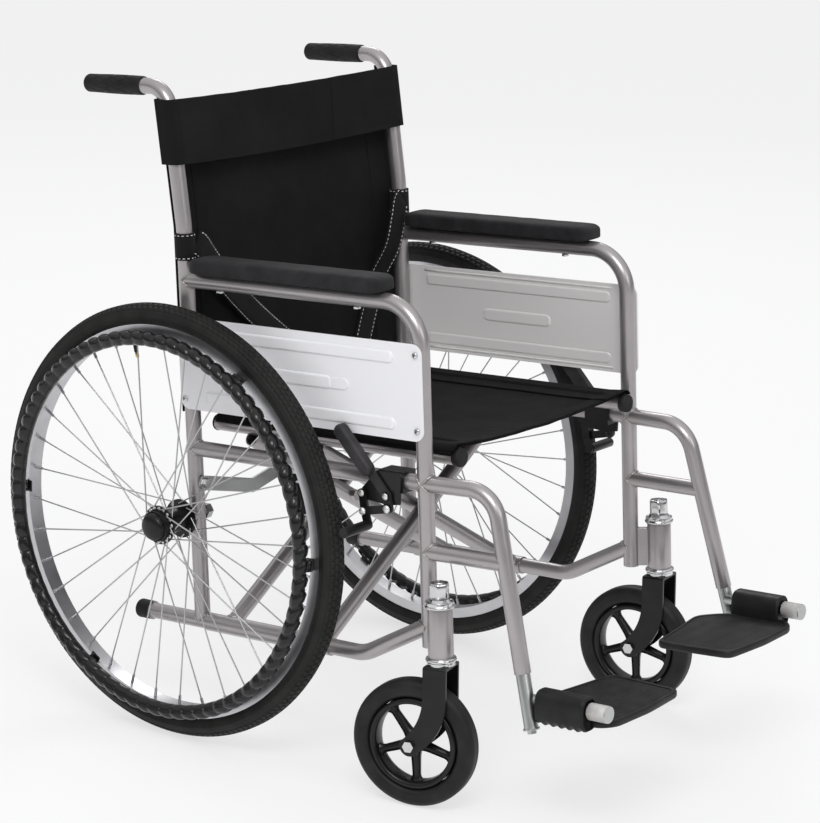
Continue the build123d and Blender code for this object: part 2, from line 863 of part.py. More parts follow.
# The scissor, seen from the front. Each diagonal turns about its lower rail and carries the
# seat rail of the other side, set a little off its line.
rail_run = seat_rail_x + half_width
rail_rise = seat_rail_z - lower_rail_z
rail_distance = sqrt(rail_run**2 + rail_rise**2)
cross_length = sqrt(rail_distance**2 - seat_rail_offset**2)
cross_angle = atan2(rail_rise, rail_run) - asin(seat_rail_offset / rail_distance)
pivot_length = half_width / cos(cross_angle)
pivot_z = lower_rail_z + pivot_length * sin(cross_angle)


def cross_point(side, f, length):
    """A point on a diagonal's centre line, a length up from its lower rail."""
    x = side * (half_width - length * cos(cross_angle))
    return at(x, f, lower_rail_z + length * sin(cross_angle))


def make_cross_frame(side):
    """Sleeve on the lower rail, two diagonals and the far seat rail, welded together."""
    sleeve_x = side * half_width
    rail_x = -side * seat_rail_x
    bolt_head = 6.0
    with BuildPart() as cross:
        for f in cross_f[side]:
            pipe([cross_point(side, f, 4), cross_point(side, f, cross_length)])
        start, end = sleeve_f[side]
        line = [at(sleeve_x, start, lower_rail_z), at(sleeve_x, end, lower_rail_z)]
        pipe(line, outer=sleeve_radius, inner=0)
        start, end = start - 5, end + 5
        line = [at(sleeve_x, start, lower_rail_z), at(sleeve_x, end, lower_rail_z)]
        pipe(line, outer=tube_radius + running_gap, inner=0, mode=Mode.SUBTRACT)
        start, end = seat_rail_f
        pipe([at(rail_x, start, seat_rail_z), at(rail_x, end, seat_rail_z)], inner=0)
        bore = [at(rail_x, start, seat_rail_z), at(rail_x, end - 6, seat_rail_z)]
        pipe(bore, outer=tube_bore, inner=0, mode=Mode.SUBTRACT)
        # plug in the front end
        plug = [at(rail_x, end, seat_rail_z), at(rail_x, end + 8, seat_rail_z)]
        pipe(plug, outer=tube_radius + 1, inner=0)
        # holes for the pivot bolts
        with BuildSketch(cross_plane(0)):
            with Locations((0, pivot_z)):
                Circle(pivot_bolt + running_gap)
        extrude(amount=cross_f[-1][1] + 2 * tube_radius, mode=Mode.SUBTRACT)
        if side == -1:
            for inner_f, outer_f in zip(cross_f[1], cross_f[-1]):
                low = min(inner_f, outer_f) - tube_radius - body_gap
                high = max(inner_f, outer_f) + tube_radius + body_gap
                with BuildSketch(cross_plane(low)):
                    with Locations((0, pivot_z)):
                        Circle(pivot_bolt)
                extrude(amount=high - low)
                for f, thick in ((low, -bolt_head), (high, bolt_head)):
                    with BuildSketch(cross_plane(f)):
                        with Locations((0, pivot_z)):
                            RegularPolygon(8, 6)
                    extrude(amount=thick)
    finish("cross_frame_" + names[side], cross)


def make_stay_link(side):
    """Flat stay from the rear post to a pin beside the opposite diagonal."""
    pivot = (side * half_width, link_pivot_z)
    reach = link_reach
    pin = (side * reach * cos(cross_angle), pivot_z + reach * sin(cross_angle))
    elbow = (pivot[0] + 0.62 * (pin[0] - pivot[0]), pivot[1] - 24)
    pin_end = cross_f[-side][0] - tube_radius - body_gap
    with BuildPart() as link:
        with BuildSketch(cross_plane(link_f)):
            rounded_bar(pivot, elbow, 20)
            rounded_bar(elbow, pin, 20)
            with Locations(pivot):
                Circle(4.0 + running_gap, mode=Mode.SUBTRACT)
        extrude(amount=link_thickness)
        with BuildSketch(cross_plane(link_f + 1)):
            with Locations(pin):
                Circle(5)
        extrude(amount=pin_end - link_f - 1)
    finish("stay_link_" + names[side], link)


def make_seat_sling():
    edge = seat_rail_x + 14
    top = seat_rail_z + tube_radius + body_gap + 4
    bottom = seat_rail_z + tube_radius + body_gap
    sag = 9.0
    with BuildPart() as sling:
        with BuildSketch(cross_plane(14)):
            with BuildLine():
                Line((-edge, top), (-edge, bottom))
                Line((-edge, bottom), (-seat_rail_x, bottom))
                ThreePointArc((-seat_rail_x, bottom), (0, bottom - sag), (seat_rail_x, bottom))
                Line((seat_rail_x, bottom), (edge, bottom))
                Line((edge, bottom), (edge, top))
                ThreePointArc((edge, top), (0, top - sag), (-edge, top))
            make_face()
        extrude(amount=seat_rail_f[1] - 14)
    finish("seat_sling", sling)


def make_back_sling():
    behind = -tube_radius - 3.6
    thickness = 4.0
    low, high = back_z
    band_low, band_high = band_z
    lean = handle_corner_f / (handle_z - post_lean_z)
    half = half_width + 2
    wrap = tube_radius + 1.0
    band_wall = 2.5
    outer = half_width + wrap

    def leaning(f, z):
        return (f + lean * max(0, z - post_lean_z), z)

    with BuildPart() as sling:
        with BuildSketch(side_plane(0)):
            with BuildLine():
                Polyline(
                    leaning(behind, low),
                    leaning(behind, post_lean_z),
                    leaning(behind, high),
                    leaning(behind - thickness, high),
                    leaning(behind - thickness, post_lean_z),
                    leaning(behind - thickness, low),
                    close=True,
                )
            make_face()
        extrude(amount=half, both=True)
        # band across the top, in front of the posts
        with BuildSketch(side_plane(0)):
            with BuildLine():
                Polyline(
                    leaning(wrap, band_low),
                    leaning(wrap, band_high),
                    leaning(wrap + band_wall, band_high),
                    leaning(wrap + band_wall, band_low),
                    close=True,
                )
            make_face()
        extrude(amount=outer, both=True)
        # its two ends, which go round the posts to the back
        with BuildSketch(side_plane(outer + 0.6), side_plane(-outer - 0.6)):
            with BuildLine():
                Polyline(
                    leaning(behind - thickness, band_low),
                    leaning(behind - thickness, high),
                    leaning(wrap + band_wall, band_high),
                    leaning(wrap + band_wall, band_low),
                    close=True,
                )
            make_face()
        extrude(amount=0.6, both=True)
        with BuildSketch(side_plane(half_width + wrap / 2), side_plane(-half_width - wrap / 2)):
            with BuildLine():
                Polyline(
                    leaning(behind - thickness, band_low),
                    leaning(behind - thickness, high),
                    leaning(behind, high),
                    leaning(behind, band_low),
                    close=True,
                )
            make_face()
        extrude(amount=wrap / 2, both=True)
    finish("back_sling", sling)


def make_lap_belt(side):
    """Webbing looped round the rear post, and the strap that hangs to the seat."""
    loop_z = 662.0
    loop_width = 36.0
    strap_top = {-1: (-220, 684), 1: (222, 686)}[side]
    strap_end = {-1: (-60, 548), 1: (160, 510)}[side]
    along = (strap_end[0] - strap_top[0], strap_end[1] - strap_top[1])
    length = sqrt(along[0] ** 2 + along[1] ** 2)
    middle = ((strap_end[0] + strap_top[0]) / 2, (strap_end[1] + strap_top[1]) / 2)
    with BuildPart() as belt:
        with BuildSketch(level_plane(side * half_width, 0, loop_z)):
            Circle(tube_radius + 3)
            Circle(tube_radius + 0.6, mode=Mode.SUBTRACT)
        extrude(amount=loop_width)
        with BuildSketch(cross_plane(tube_radius + 0.8)):
            with Locations(Location(middle, degrees(atan2(along[1], along[0])))):
                Rectangle(length, loop_width)
        extrude(amount=2)
    finish("lap_belt_" + names[side], belt)


for side in (-1, 1):
    make_rear_post(side)
    make_arm_tube(side)
    make_lower_rail(side)
    make_side_rails(side)
    make_hanger(side)
    make_caster_housing(side)
    make_push_grip(side)
    make_arm_pad(side)
    make_side_panel(side)
    make_frame_fasteners(side)
    make_wheel_axle(side)
    make_tyre(side)
    make_rim(side)
    make_spokes(side)
    make_hub(side)
    make_hand_rim(side)
    make_caster_fork(side)
    make_caster_hardware(side)
    make_caster_tyre(side)
    make_caster_wheel(side)
    make_footrest_tube(side)
    make_footplate(side)
    make_brake_bracket(side)
    make_brake_lever(side)
    make_brake_link(side)
    make_brake_shoe(side)
    make_cross_frame(side)
    make_stay_link(side)
    make_lap_belt(side)
make_seat_sling()
make_back_sling()
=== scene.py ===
import json
from math import atan2, cos, exp, pi, radians, sin, sqrt

import bpy
from mathutils import Matrix, Vector, noise


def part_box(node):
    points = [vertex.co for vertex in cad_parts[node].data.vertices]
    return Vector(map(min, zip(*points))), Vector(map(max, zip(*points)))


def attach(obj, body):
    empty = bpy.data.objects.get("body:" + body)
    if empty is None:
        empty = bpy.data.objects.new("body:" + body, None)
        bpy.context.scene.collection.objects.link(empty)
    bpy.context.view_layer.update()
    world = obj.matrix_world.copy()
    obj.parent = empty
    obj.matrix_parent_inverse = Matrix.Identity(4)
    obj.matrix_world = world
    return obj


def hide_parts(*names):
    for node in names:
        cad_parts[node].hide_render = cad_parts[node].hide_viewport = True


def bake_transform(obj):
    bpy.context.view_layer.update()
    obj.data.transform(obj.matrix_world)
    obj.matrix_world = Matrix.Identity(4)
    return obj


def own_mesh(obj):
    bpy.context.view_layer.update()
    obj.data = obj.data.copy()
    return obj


# A folding manual wheelchair. Row axes: +Z up, the chair faces -Y, the occupant's left is +X.
# The chassis is raked, so positions on it are given by chassis measures in metres:
# x across, f forward of the rear axle and z up, with the axle at f = 0, z = WHEEL_RADIUS.
# side is -1 for the occupant's right and +1 for the left.

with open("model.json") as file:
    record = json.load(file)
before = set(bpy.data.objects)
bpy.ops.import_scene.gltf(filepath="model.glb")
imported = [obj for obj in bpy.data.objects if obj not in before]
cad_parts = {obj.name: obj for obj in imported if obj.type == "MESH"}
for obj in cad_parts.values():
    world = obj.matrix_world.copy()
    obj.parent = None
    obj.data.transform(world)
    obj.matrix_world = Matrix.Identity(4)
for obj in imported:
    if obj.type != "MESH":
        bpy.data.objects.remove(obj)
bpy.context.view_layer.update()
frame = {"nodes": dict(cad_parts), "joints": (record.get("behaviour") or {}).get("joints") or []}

RAKE = radians(4.46)
WHEEL_RADIUS = 0.305
WHEEL_X = 0.291
HALF_WIDTH = 0.235
FRONT_POST_F = 0.405
TUBE = 0.011
SEAT_RAIL_X = 0.192
SEAT_RAIL_Z = 0.427
LOWER_RAIL_Z = 0.150
CASTER_X = 0.257
CASTER_F = 0.439
NAMES = {-1: "right", 1: "left"}
SIDES = (-1, 1)

axle_low, axle_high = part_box("hub_right")
AXLE_Y = (axle_low.y + axle_high.y) / 2
SIDEWAYS = Vector((1, 0, 0))
FORWARD = Vector((0, -cos(RAKE), sin(RAKE)))
UPWARD = Vector((0, sin(RAKE), cos(RAKE)))


def at(x, f, z):
    """Row position of a point given in chassis measures."""
    return Vector((x, AXLE_Y, WHEEL_RADIUS)) + FORWARD * f + UPWARD * (z - WHEEL_RADIUS)


def joint(name):
    """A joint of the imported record."""
    return next(j for j in frame["joints"] if j["name"] == name)


# ---------------------------------------------------------------- camera

def make_camera():
    """The photograph's viewing direction, distance and lens."""
    azimuth, elevation, roll = radians(-52.222), radians(15.051), radians(1.779)
    back = Vector((sin(azimuth) * cos(elevation), -cos(azimuth) * cos(elevation), sin(elevation)))
    level = (-back).cross(Vector((0, 0, 1))).normalized()
    above = level.cross(-back)
    right = level * cos(roll) + above * sin(roll)
    up = above * cos(roll) - level * sin(roll)
    data = bpy.data.cameras.new("camera")
    data.lens = 127.71
    data.sensor_width = 36
    data.shift_x = 0.0003
    data.shift_y = -0.001
    camera = bpy.data.objects.new("camera", data)
    place = Matrix((right, up, back)).transposed().to_4x4()
    place.translation = Vector((-3.12296, AXLE_Y - 2.60503, 1.50427))
    camera.matrix_world = place
    bpy.context.scene.collection.objects.link(camera)
    bpy.context.scene.camera = camera


make_camera()


# ---------------------------------------------------------------- materials

def shader(name, color, roughness, metallic=0.0, **inputs):
    """A new material whose Principled shader has these constants."""
    made = bpy.data.materials.new(name)
    made.use_nodes = True
    made.diffuse_color = (*color, 1)
    main = made.node_tree.nodes["Principled BSDF"]
    main.inputs["Base Color"].default_value = (*color, 1)
    main.inputs["Roughness"].default_value = roughness
    main.inputs["Metallic"].default_value = metallic
    for key, value in inputs.items():
        main.inputs[key.replace("_", " ")].default_value = value
    return made


def node(made, kind, **inputs):
    """A new node; inputs are values, or other nodes' output sockets."""
    new = made.node_tree.nodes.new(kind)
    for key, value in inputs.items():
        socket = new.inputs[int(key[1:])] if key[0] == "i" and key[1:].isdigit() else new.inputs[key]
        if isinstance(value, bpy.types.NodeSocket):
            made.node_tree.links.new(value, socket)
        else:
            socket.default_value = value
    return new


def place(made):
    """Object coordinates, so that a pattern stays on its piece."""
    return node(made, "ShaderNodeTexCoord").outputs["Object"]


def math(made, operation, a, b=0.0, c=0.5):
    new = node(made, "ShaderNodeMath", i0=a, i1=b, i2=c)
    new.operation = operation
    return new.outputs[0]


def cloudy(made, scale, detail=4.0, stretch=(1, 1, 1)):
    """Noise of that scale per metre."""
    where = place(made)
    if stretch != (1, 1, 1):
        where = node(made, "ShaderNodeMapping", Vector=where, Scale=stretch).outputs[0]
    return node(made, "ShaderNodeTexNoise", Vector=where, Scale=scale, Detail=detail).outputs["Fac"]


def tint(made, factor, low, high, start=0.35, end=0.65):
    """Base colour from low to high as factor goes from start to end."""
    ramp = node(made, "ShaderNodeValToRGB", Fac=factor)
    ramp.color_ramp.elements[0].position = start
    ramp.color_ramp.elements[0].color = (*low, 1)
    ramp.color_ramp.elements[1].position = end
    ramp.color_ramp.elements[1].color = (*high, 1)
    main = made.node_tree.nodes["Principled BSDF"]
    made.node_tree.links.new(ramp.outputs["Color"], main.inputs["Base Color"])


def polish(made, factor, low, high):
    """Roughness from low to high with factor."""
    spread = node(made, "ShaderNodeMapRange", Value=factor)
    spread.inputs["To Min"].default_value = low
    spread.inputs["To Max"].default_value = high
    main = made.node_tree.nodes["Principled BSDF"]
    made.node_tree.links.new(spread.outputs[0], main.inputs["Roughness"])


def relief(made, height, strength, distance):
    """Bump from height; distance in metres. Each call adds to the last."""
    main = made.node_tree.nodes["Principled BSDF"]
    bump = node(made, "ShaderNodeBump", Height=height, Strength=strength, Distance=distance)
    if main.inputs["Normal"].links:
        before = main.inputs["Normal"].links[0].from_socket
        made.node_tree.links.new(before, bump.inputs["Normal"])
    made.node_tree.links.new(bump.outputs[0], main.inputs["Normal"])


def scaled(color, by):
    return tuple(min(1.0, c * by) for c in color)


def make_paint(name, color, roughness, metallic, flake=0.06, coat=0.25):
    """Stoved enamel: fine metal flake, slight orange peel, faint scuffs."""
    made = shader(name, color, roughness, metallic, Coat_Weight=coat, Coat_Roughness=0.22)
    patches = cloudy(made, 22, 5)
    flakes = cloudy(made, 2600, 1)
    both = math(made, "ADD", math(made, "MULTIPLY", patches, 0.5), math(made, "MULTIPLY", flakes, 0.5))
    tint(made, both, scaled(color, 1 - flake), scaled(color, 1 + flake))
    polish(made, cloudy(made, 60, 6), roughness - 0.07, roughness + 0.09)
    relief(made, cloudy(made, 700, 2), 0.12, 0.0002)
    return made


def make_plate(name, color, roughness, marks=0.03, grain=1):
    """Chrome or zinc plate: cloudy tone, fine handling marks, an optional grain."""
    made = shader(name, color, roughness, 1.0)
    tint(made, cloudy(made, 30, 5), scaled(color, 0.93), scaled(color, 1.04))
    polish(made, cloudy(made, 90, 5), max(0.03, roughness - 0.04), roughness + 0.06)
    if marks:
        relief(made, cloudy(made, 900, 3, (1, grain, 1)), marks, 0.0001)
    return made


def make_black(name, color, roughness, grain, depth, coat=0.0, sheen=0.0):
    """Black rubber, foam or plastic with a moulded grain and dusty high spots."""
    made = shader(name, color, roughness, 0.0, Coat_Weight=coat, Coat_Roughness=0.12, Sheen_Weight=sheen)
    made.node_tree.nodes["Principled BSDF"].inputs["Specular IOR Level"].default_value = 0.26
    dust = cloudy(made, 35, 7)
    tint(made, dust, scaled(color, 0.75), scaled(color, 1.45))
    polish(made, cloudy(made, 90, 5), max(0.04, roughness - 0.08), min(1.0, roughness + 0.12))
    relief(made, cloudy(made, grain, 3), 0.5, depth)
    return made


def weave(made, pitch, strength, depth, along):
    """Plain weave: threads that pass over and under on two axes."""
    split = node(made, "ShaderNodeSeparateXYZ", Vector=place(made))
    turn = 2 * pi / pitch
    warp = math(made, "SINE", math(made, "MULTIPLY", split.outputs["X"], turn))
    weft = math(made, "SINE", math(made, "MULTIPLY", split.outputs[along], turn))
    relief(made, math(made, "MULTIPLY", warp, weft), strength, depth)


def make_cloth(name, color, pitch, along, sheen=0.02, roughness=0.9):
    """Woven nylon with soft creases, a slight sheen and paler rubbed patches."""
    made = shader(name, color, roughness, 0.0, Sheen_Weight=sheen, Sheen_Roughness=0.45)
    made.node_tree.nodes["Principled BSDF"].inputs["Specular IOR Level"].default_value = 0.16
    tint(made, cloudy(made, 9, 6), scaled(color, 0.78), scaled(color, 1.35))
    polish(made, cloudy(made, 30, 4), roughness - 0.12, min(1.0, roughness + 0.08))
    relief(made, cloudy(made, 11, 3), 0.5, 0.009)
    weave(made, pitch, 0.6, 0.0003, along)
    return made


SILVER = (0.42, 0.395, 0.40)
NEAR_BLACK = (0.006, 0.006, 0.0066)

silver = make_paint("silver_paint", SILVER, 0.33, 0.8)
zinc = make_plate("zinc_plate", (0.5, 0.515, 0.51), 0.34)
chrome = make_plate("chrome", (0.66, 0.66, 0.67), 0.16)
rim_metal = make_plate("rim_metal", (0.58, 0.58, 0.6), 0.32, marks=0)
spoke_metal = make_plate("spoke_metal", (0.56, 0.56, 0.57), 0.4, marks=0)
rivet_metal = make_plate("rivet_metal", (0.86, 0.86, 0.84), 0.42, marks=0.02)
weld_metal = make_plate("weld_metal", (0.46, 0.44, 0.435), 0.42, marks=0.05, grain=3)
brass = make_plate("brass", (0.62, 0.45, 0.2), 0.25)
tread_rubber = make_black("tread_rubber", (0.011, 0.0105, 0.01), 0.6, 900, 0.0003)
caster_rubber = make_black("caster_rubber", (0.012, 0.012, 0.0125), 0.5, 500, 0.0001)
grip_rubber = make_black("grip_rubber", (0.010, 0.010, 0.0105), 0.6, 1200, 0.0003)
foam = make_black("foam_skin", (0.014, 0.014, 0.0155), 0.75, 480, 0.0011, sheen=0.04)
ring_plastic = make_black("ring_plastic", NEAR_BLACK, 0.26, 260, 0.0001, coat=0.35)
gloss_black = make_black("gloss_black", NEAR_BLACK, 0.3, 200, 0.00005, coat=0.12)
plug_plastic = make_black("plug_plastic", (0.011, 0.011, 0.0115), 0.6, 600, 0.0002)
plate_plastic = make_black("plate_plastic", (0.011, 0.011, 0.0115), 0.45, 800, 0.0002)
lever_plastic = make_black("lever_plastic", (0.03, 0.028, 0.03), 0.5, 900, 0.0003)
cap_plastic = make_black("cap_plastic", (0.42, 0.41, 0.40), 0.45, 500, 0.0001)
back_cloth = make_cloth("back_cloth", (0.0075, 0.0075, 0.0082), 0.0011, "Z")
# painted shade: the seat's nylon is given a darker colour than the back's, for its top, which faces the bright sky
seat_cloth = make_cloth("seat_cloth", (0.0055, 0.0055, 0.006), 0.0011, "Y")
webbing = make_cloth("belt_webbing", (0.010, 0.0096, 0.0096), 0.0016, "Z", sheen=0.05)
thread = make_black("white_thread", (0.72, 0.72, 0.72), 0.8, 3000, 0.0002)


def make_pips():
    """Footplate top: a fine raised grain of round pips on black plastic."""
    made = shader("pip_plastic", (0.01, 0.01, 0.0105), 0.62, Specular_IOR_Level=0.32)
    tint(made, cloudy(made, 50, 6), (0.007, 0.007, 0.0075), (0.017, 0.017, 0.018))
    cells = node(made, "ShaderNodeTexVoronoi", Vector=place(made), Scale=480.0, Randomness=0.25)
    relief(made, math(made, "SUBTRACT", 1.0, cells.outputs["Distance"]), 0.8, 0.0007)
    polish(made, cells.outputs["Distance"], 0.45, 0.8)
    return made


def make_panel():
    """Side panel: white on the face turned out, pale grey on the face turned in, which is painted shade."""
    made = shader("panel_paint", (0.78, 0.78, 0.8), 0.4, 0.0, Coat_Weight=0.2)
    coords = node(made, "ShaderNodeTexCoord")
    facing = node(made, "ShaderNodeSeparateXYZ", Vector=coords.outputs["Normal"]).outputs["X"]
    side = node(made, "ShaderNodeSeparateXYZ", Vector=coords.outputs["Object"]).outputs["X"]
    # painted shade: faces turned in towards the chair are tinted a darker grey than faces turned out
    outward = math(made, "MULTIPLY", facing, math(made, "SIGN", side))
    smudge = math(made, "MULTIPLY", math(made, "SUBTRACT", cloudy(made, 18, 6), 0.5), 0.35)
    tone = math(made, "ADD", math(made, "MULTIPLY_ADD", outward, 0.5), smudge)
    tint(made, tone, (0.8, 0.785, 0.78), (0.87, 0.87, 0.9), 0.3, 0.7)
    polish(made, cloudy(made, 70, 5), 0.33, 0.48)
    relief(made, cloudy(made, 500, 2), 0.1, 0.0002)
    return made


pip_plastic = make_pips()
panel_paint = make_panel()


# ---------------------------------------------------------------- mesh helpers

def piece(name, vertices, faces, material, body, slot, replaces=(), smooth=True):
    """A mesh piece that rides on a CAD body."""
    mesh = bpy.data.meshes.new(name)
    mesh.from_pydata([tuple(v) for v in vertices], [], faces)
    mesh.validate()
    mesh.materials.append(material)
    if smooth:
        mesh.polygons.foreach_set("use_smooth", [True] * len(mesh.polygons))
    obj = bpy.data.objects.new(name, mesh)
    bpy.context.scene.collection.objects.link(obj)
    if body:
        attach(obj, body)
    if replaces:
        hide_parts(*replaces)
    return obj


def gather(parts):
    """Joins (vertices, faces) pairs into one."""
    vertices, faces = [], []
    for some_vertices, some_faces in parts:
        base = len(vertices)
        vertices += some_vertices
        faces += [tuple(base + i for i in face) for face in some_faces]
    return vertices, faces


def grid_faces(rows, columns, close_rows=False, close_columns=False):
    """Quads over rows of points; a closed direction joins its last line to its first."""
    faces = []
    for i in range(rows if close_rows else rows - 1):
        for j in range(columns if close_columns else columns - 1):
            k, m = (i + 1) % rows, (j + 1) % columns
            faces.append((i * columns + j, i * columns + m, k * columns + m, k * columns + j))
    return faces


def turned(centre, axis, profile, segments, closed=True):
    """Surface turned about an axis from (offset, radius) points."""
    axis = Vector(axis).normalized()
    start = axis.orthogonal().normalized()
    other = axis.cross(start)
    vertices = []
    for k in range(segments):
        angle = 2 * pi * k / segments
        spoke = start * cos(angle) + other * sin(angle)
        vertices += [Vector(centre) + axis * offset + spoke * radius for offset, radius in profile]
    return vertices, grid_faces(segments, len(profile), True, closed)


def swept(points, section, closed=False):
    """Surface of a section swept along points. section(i) gives (across, up) pairs, or is a radius."""
    points = [Vector(p) for p in points]
    count = len(points)
    vertices = []
    up = None
    size = 0
    for i, p in enumerate(points):
        if closed:
            along = points[(i + 1) % count] - points[i - 1]
        else:
            along = points[min(i + 1, count - 1)] - points[max(i - 1, 0)]
        along.normalize()
        if up is None:
            up = along.orthogonal().normalized()
        up = (up - along * up.dot(along)).normalized()
        across = along.cross(up)
        outline = section(i) if callable(section) else round_section(section)
        size = len(outline)
        vertices += [p + across * a + up * b for a, b in outline]
    faces = grid_faces(count, size, closed, True)
    if not closed:
        faces.append(tuple(reversed(range(size))))
        faces.append(tuple(range((count - 1) * size, count * size)))
    return vertices, faces


def round_section(radius, sides=12):
    return [(radius * cos(2 * pi * k / sides), radius * sin(2 * pi * k / sides)) for k in range(sides)]


def bow(points, steps):
    """A smooth line through points (Catmull-Rom)."""
    points = [Vector(p) for p in points]
    line = []
    for i in range(len(points) - 1):
        a, b = points[max(i - 1, 0)], points[i]
        c, d = points[i + 1], points[min(i + 2, len(points) - 1)]
        for k in range(steps):
            t = k / steps
            line.append(0.5 * (2 * b + (c - a) * t + (2 * a - 5 * b + 4 * c - d) * t * t
                               + (3 * b - a - 3 * c + d) * t ** 3))
    line.append(points[-1])
    return line


def dome(centre, axis, radius, height, segments=20, skirt=0.0):
    """A closed domed head, such as a rivet's."""
    steps = 6
    profile = [(-skirt, 0.0), (-skirt, radius)]
    for k in range(steps):
        angle = pi / 2 * k / steps
        profile.append((height * sin(angle), radius * cos(angle)))
    profile.append((height, 0.0))
    return turned(centre, axis, profile, segments, closed=False)


# ---------------------------------------------------------------- carried-over CAD nodes

def finish_node(name, material, bevel=0.0):
    """Gives a CAD node its material, and softens its machined edges."""
    obj = frame["nodes"][name]
    obj.data.materials.clear()
    obj.data.materials.append(material)
    if bevel:
        weld = obj.modifiers.new("weld", "WELD")
        weld.merge_threshold = 0.00001
        edge = obj.modifiers.new("edge", "BEVEL")
        edge.width = bevel
        edge.segments = 3
        edge.limit_method = "ANGLE"
        edge.angle_limit = radians(40)
        edge.harden_normals = True


NODE_FINISH = {
    "rear_post": (silver, 0), "arm_tube": (silver, 0), "lower_rail": (silver, 0), "side_rails": (silver, 0),
    "footrest_hanger": (silver, 0.0006), "caster_housing": (silver, 0.0008), "push_grip": (grip_rubber, 0),
    "arm_pad": (foam, 0), "side_panel": (panel_paint, 0.0006), "frame_fasteners": (chrome, 0.0003),
    "wheel_axle": (zinc, 0.0004), "tyre": (tread_rubber, 0), "rim": (rim_metal, 0), "spokes": (spoke_metal, 0),
    "hub": (gloss_black, 0.0006), "hand_rim": (ring_plastic, 0), "caster_fork": (gloss_black, 0.001),
    "caster_hardware": (chrome, 0.0006), "caster_tyre": (caster_rubber, 0), "caster_wheel": (gloss_black, 0.0008),
    "footrest_tube": (zinc, 0.0005), "footplate": (plate_plastic, 0.001), "brake_bracket": (gloss_black, 0.0006),
    "brake_lever": (lever_plastic, 0.001), "brake_link": (gloss_black, 0.0005), "brake_shoe": (gloss_black, 0.0006),
    "cross_frame": (silver, 0), "stay_link": (zinc, 0.0005), "lap_belt": (webbing, 0),
}
for stem, (material, bevel) in NODE_FINISH.items():
    for side in SIDES:
        finish_node(f"{stem}_{NAMES[side]}", material, bevel)
finish_node("seat_sling", seat_cloth)
finish_node("back_sling", back_cloth)


# ---------------------------------------------------------------- rear wheels

def wheel_centre(side, out=0.0):
    return Vector((side * (WHEEL_X + out), AXLE_Y, WHEEL_RADIUS))


def make_tyre(side):
    """Block tread over a round carcass, with a plain wall and a moulded ring on it."""
    pitches = 190
    section = 0.0172
    rise = 0.001
    phases = (0.0, 0.06, 0.2, 0.26, 0.5, 0.56, 0.7, 0.76)
    raised = {0: (1, 2, 3, 4, 5, 6), 1: (5, 6, 7, 0, 1, 2)}
    rows = [(-54, -34), (-31, -12), (-9, 9), (12, 31), (34, 54)]
    wall = [(-128, None), (-118, None), (-104, None), (-92, None), (-88, "ring"), (-84, "ring"), (-80, None),
            (-70, None), (-60, None)]
    profile = list(wall)
    for number, (start, end) in enumerate(rows):
        profile += [(start - 1, None), (start, number % 2), (end, number % 2), (end + 1, None)]
    profile += [(-degrees, kind) for degrees, kind in reversed(wall)]
    middle = WHEEL_RADIUS - 0.0175
    vertices = []
    for k in range(pitches):
        for number, phase in enumerate(phases):
            angle = 2 * pi * (k + phase) / pitches
            spoke = Vector((0, cos(angle), sin(angle)))
            for place_on, kind in profile:
                radius = section - rise if abs(place_on) < 56 else section - 0.0004
                if kind == "ring":
                    radius += 0.0005
                elif kind is not None and number in raised[kind]:
                    radius += rise + 0.0002
                turn = radians(place_on)
                offset = radius * sin(turn)
                vertices.append(wheel_centre(side, offset) + spoke * (middle + radius * cos(turn)))
    count = pitches * len(phases)
    faces = grid_faces(count, len(profile), True, False)
    if side == 1:
        faces = [tuple(reversed(face)) for face in faces]
    tyre = piece("tyre_tread_" + NAMES[side], vertices, faces, tread_rubber, "wheel_" + NAMES[side], "tyre",
                 ["tyre_" + NAMES[side]])
    thick = tyre.modifiers.new("wall", "SOLIDIFY")
    thick.thickness = 0.0018
    thick.offset = -1


def make_hand_rim(side):
    """Moulded push ring: a row of rounded finger ribs with a plain band on the wheel's side."""
    ribs = 78
    steps = ribs * 10
    sides = 40
    out = 0.033
    ring_radius = 0.261
    section = 0.0112
    vertices = []
    for k in range(steps):
        angle = 2 * pi * k / steps
        spoke = Vector((0, cos(angle), sin(angle)))
        for j in range(sides):
            turn = 2 * pi * j / sides
            outward = 0.5 + 0.5 * cos(turn - radians(66))
            valley = 1 - abs(cos(ribs * angle / 2 + 0.7 * sin(turn - radians(66)))) ** 0.4
            edge = turn - radians(128) - 0.30 * cos(ribs * angle)
            ridge = exp(-(edge / 0.13) ** 2)
            step = 0.0016 if edge > 0.1 else 0.0
            radius = section - 0.0055 * valley * outward ** 0.6 + 0.0010 * ridge - step
            offset = radius * cos(turn)
            vertices.append(wheel_centre(side, out + offset) + spoke * (ring_radius + radius * sin(turn)))
    ring = (vertices, grid_faces(steps, sides, True, True))
    parts = [ring]
    # clips down to the rim, each with a screw head
    wide, thin = 0.008, 0.0016
    heads = []
    for k in range(6):
        angle = radians(k * 60)
        spoke = Vector((0, cos(angle), sin(angle)))
        along = SIDEWAYS.cross(spoke)
        line = [wheel_centre(side, u) + spoke * r for u, r in
                ((0.0125, 0.2575), (0.0128, 0.264), (0.016, 0.2665), (0.022, 0.264), (0.0275, 0.2605))]
        line = bow(line, 4)
        rows = []
        for p in line:
            rows += [p + along * wide * a + spoke * thin * b for a, b in
                     ((-1, -1), (1, -1), (1.05, 0), (1, 1), (-1, 1), (-1.05, 0))]
        parts.append((rows, grid_faces(len(line), 6, False, True)
                      + [(5, 4, 3, 2, 1, 0), tuple(range(len(rows) - 6, len(rows)))]))
        heads.append(dome(wheel_centre(side, 0.02) + spoke * 0.2625, -spoke, 0.0035, 0.002, skirt=0.002))
    body = "wheel_" + NAMES[side]
    piece("push_ring_" + NAMES[side], *gather(parts), ring_plastic, body, "ring_plastic", ["hand_rim_" + NAMES[side]])
    piece("ring_screws_" + NAMES[side], *gather(heads), zinc, body, "zinc")


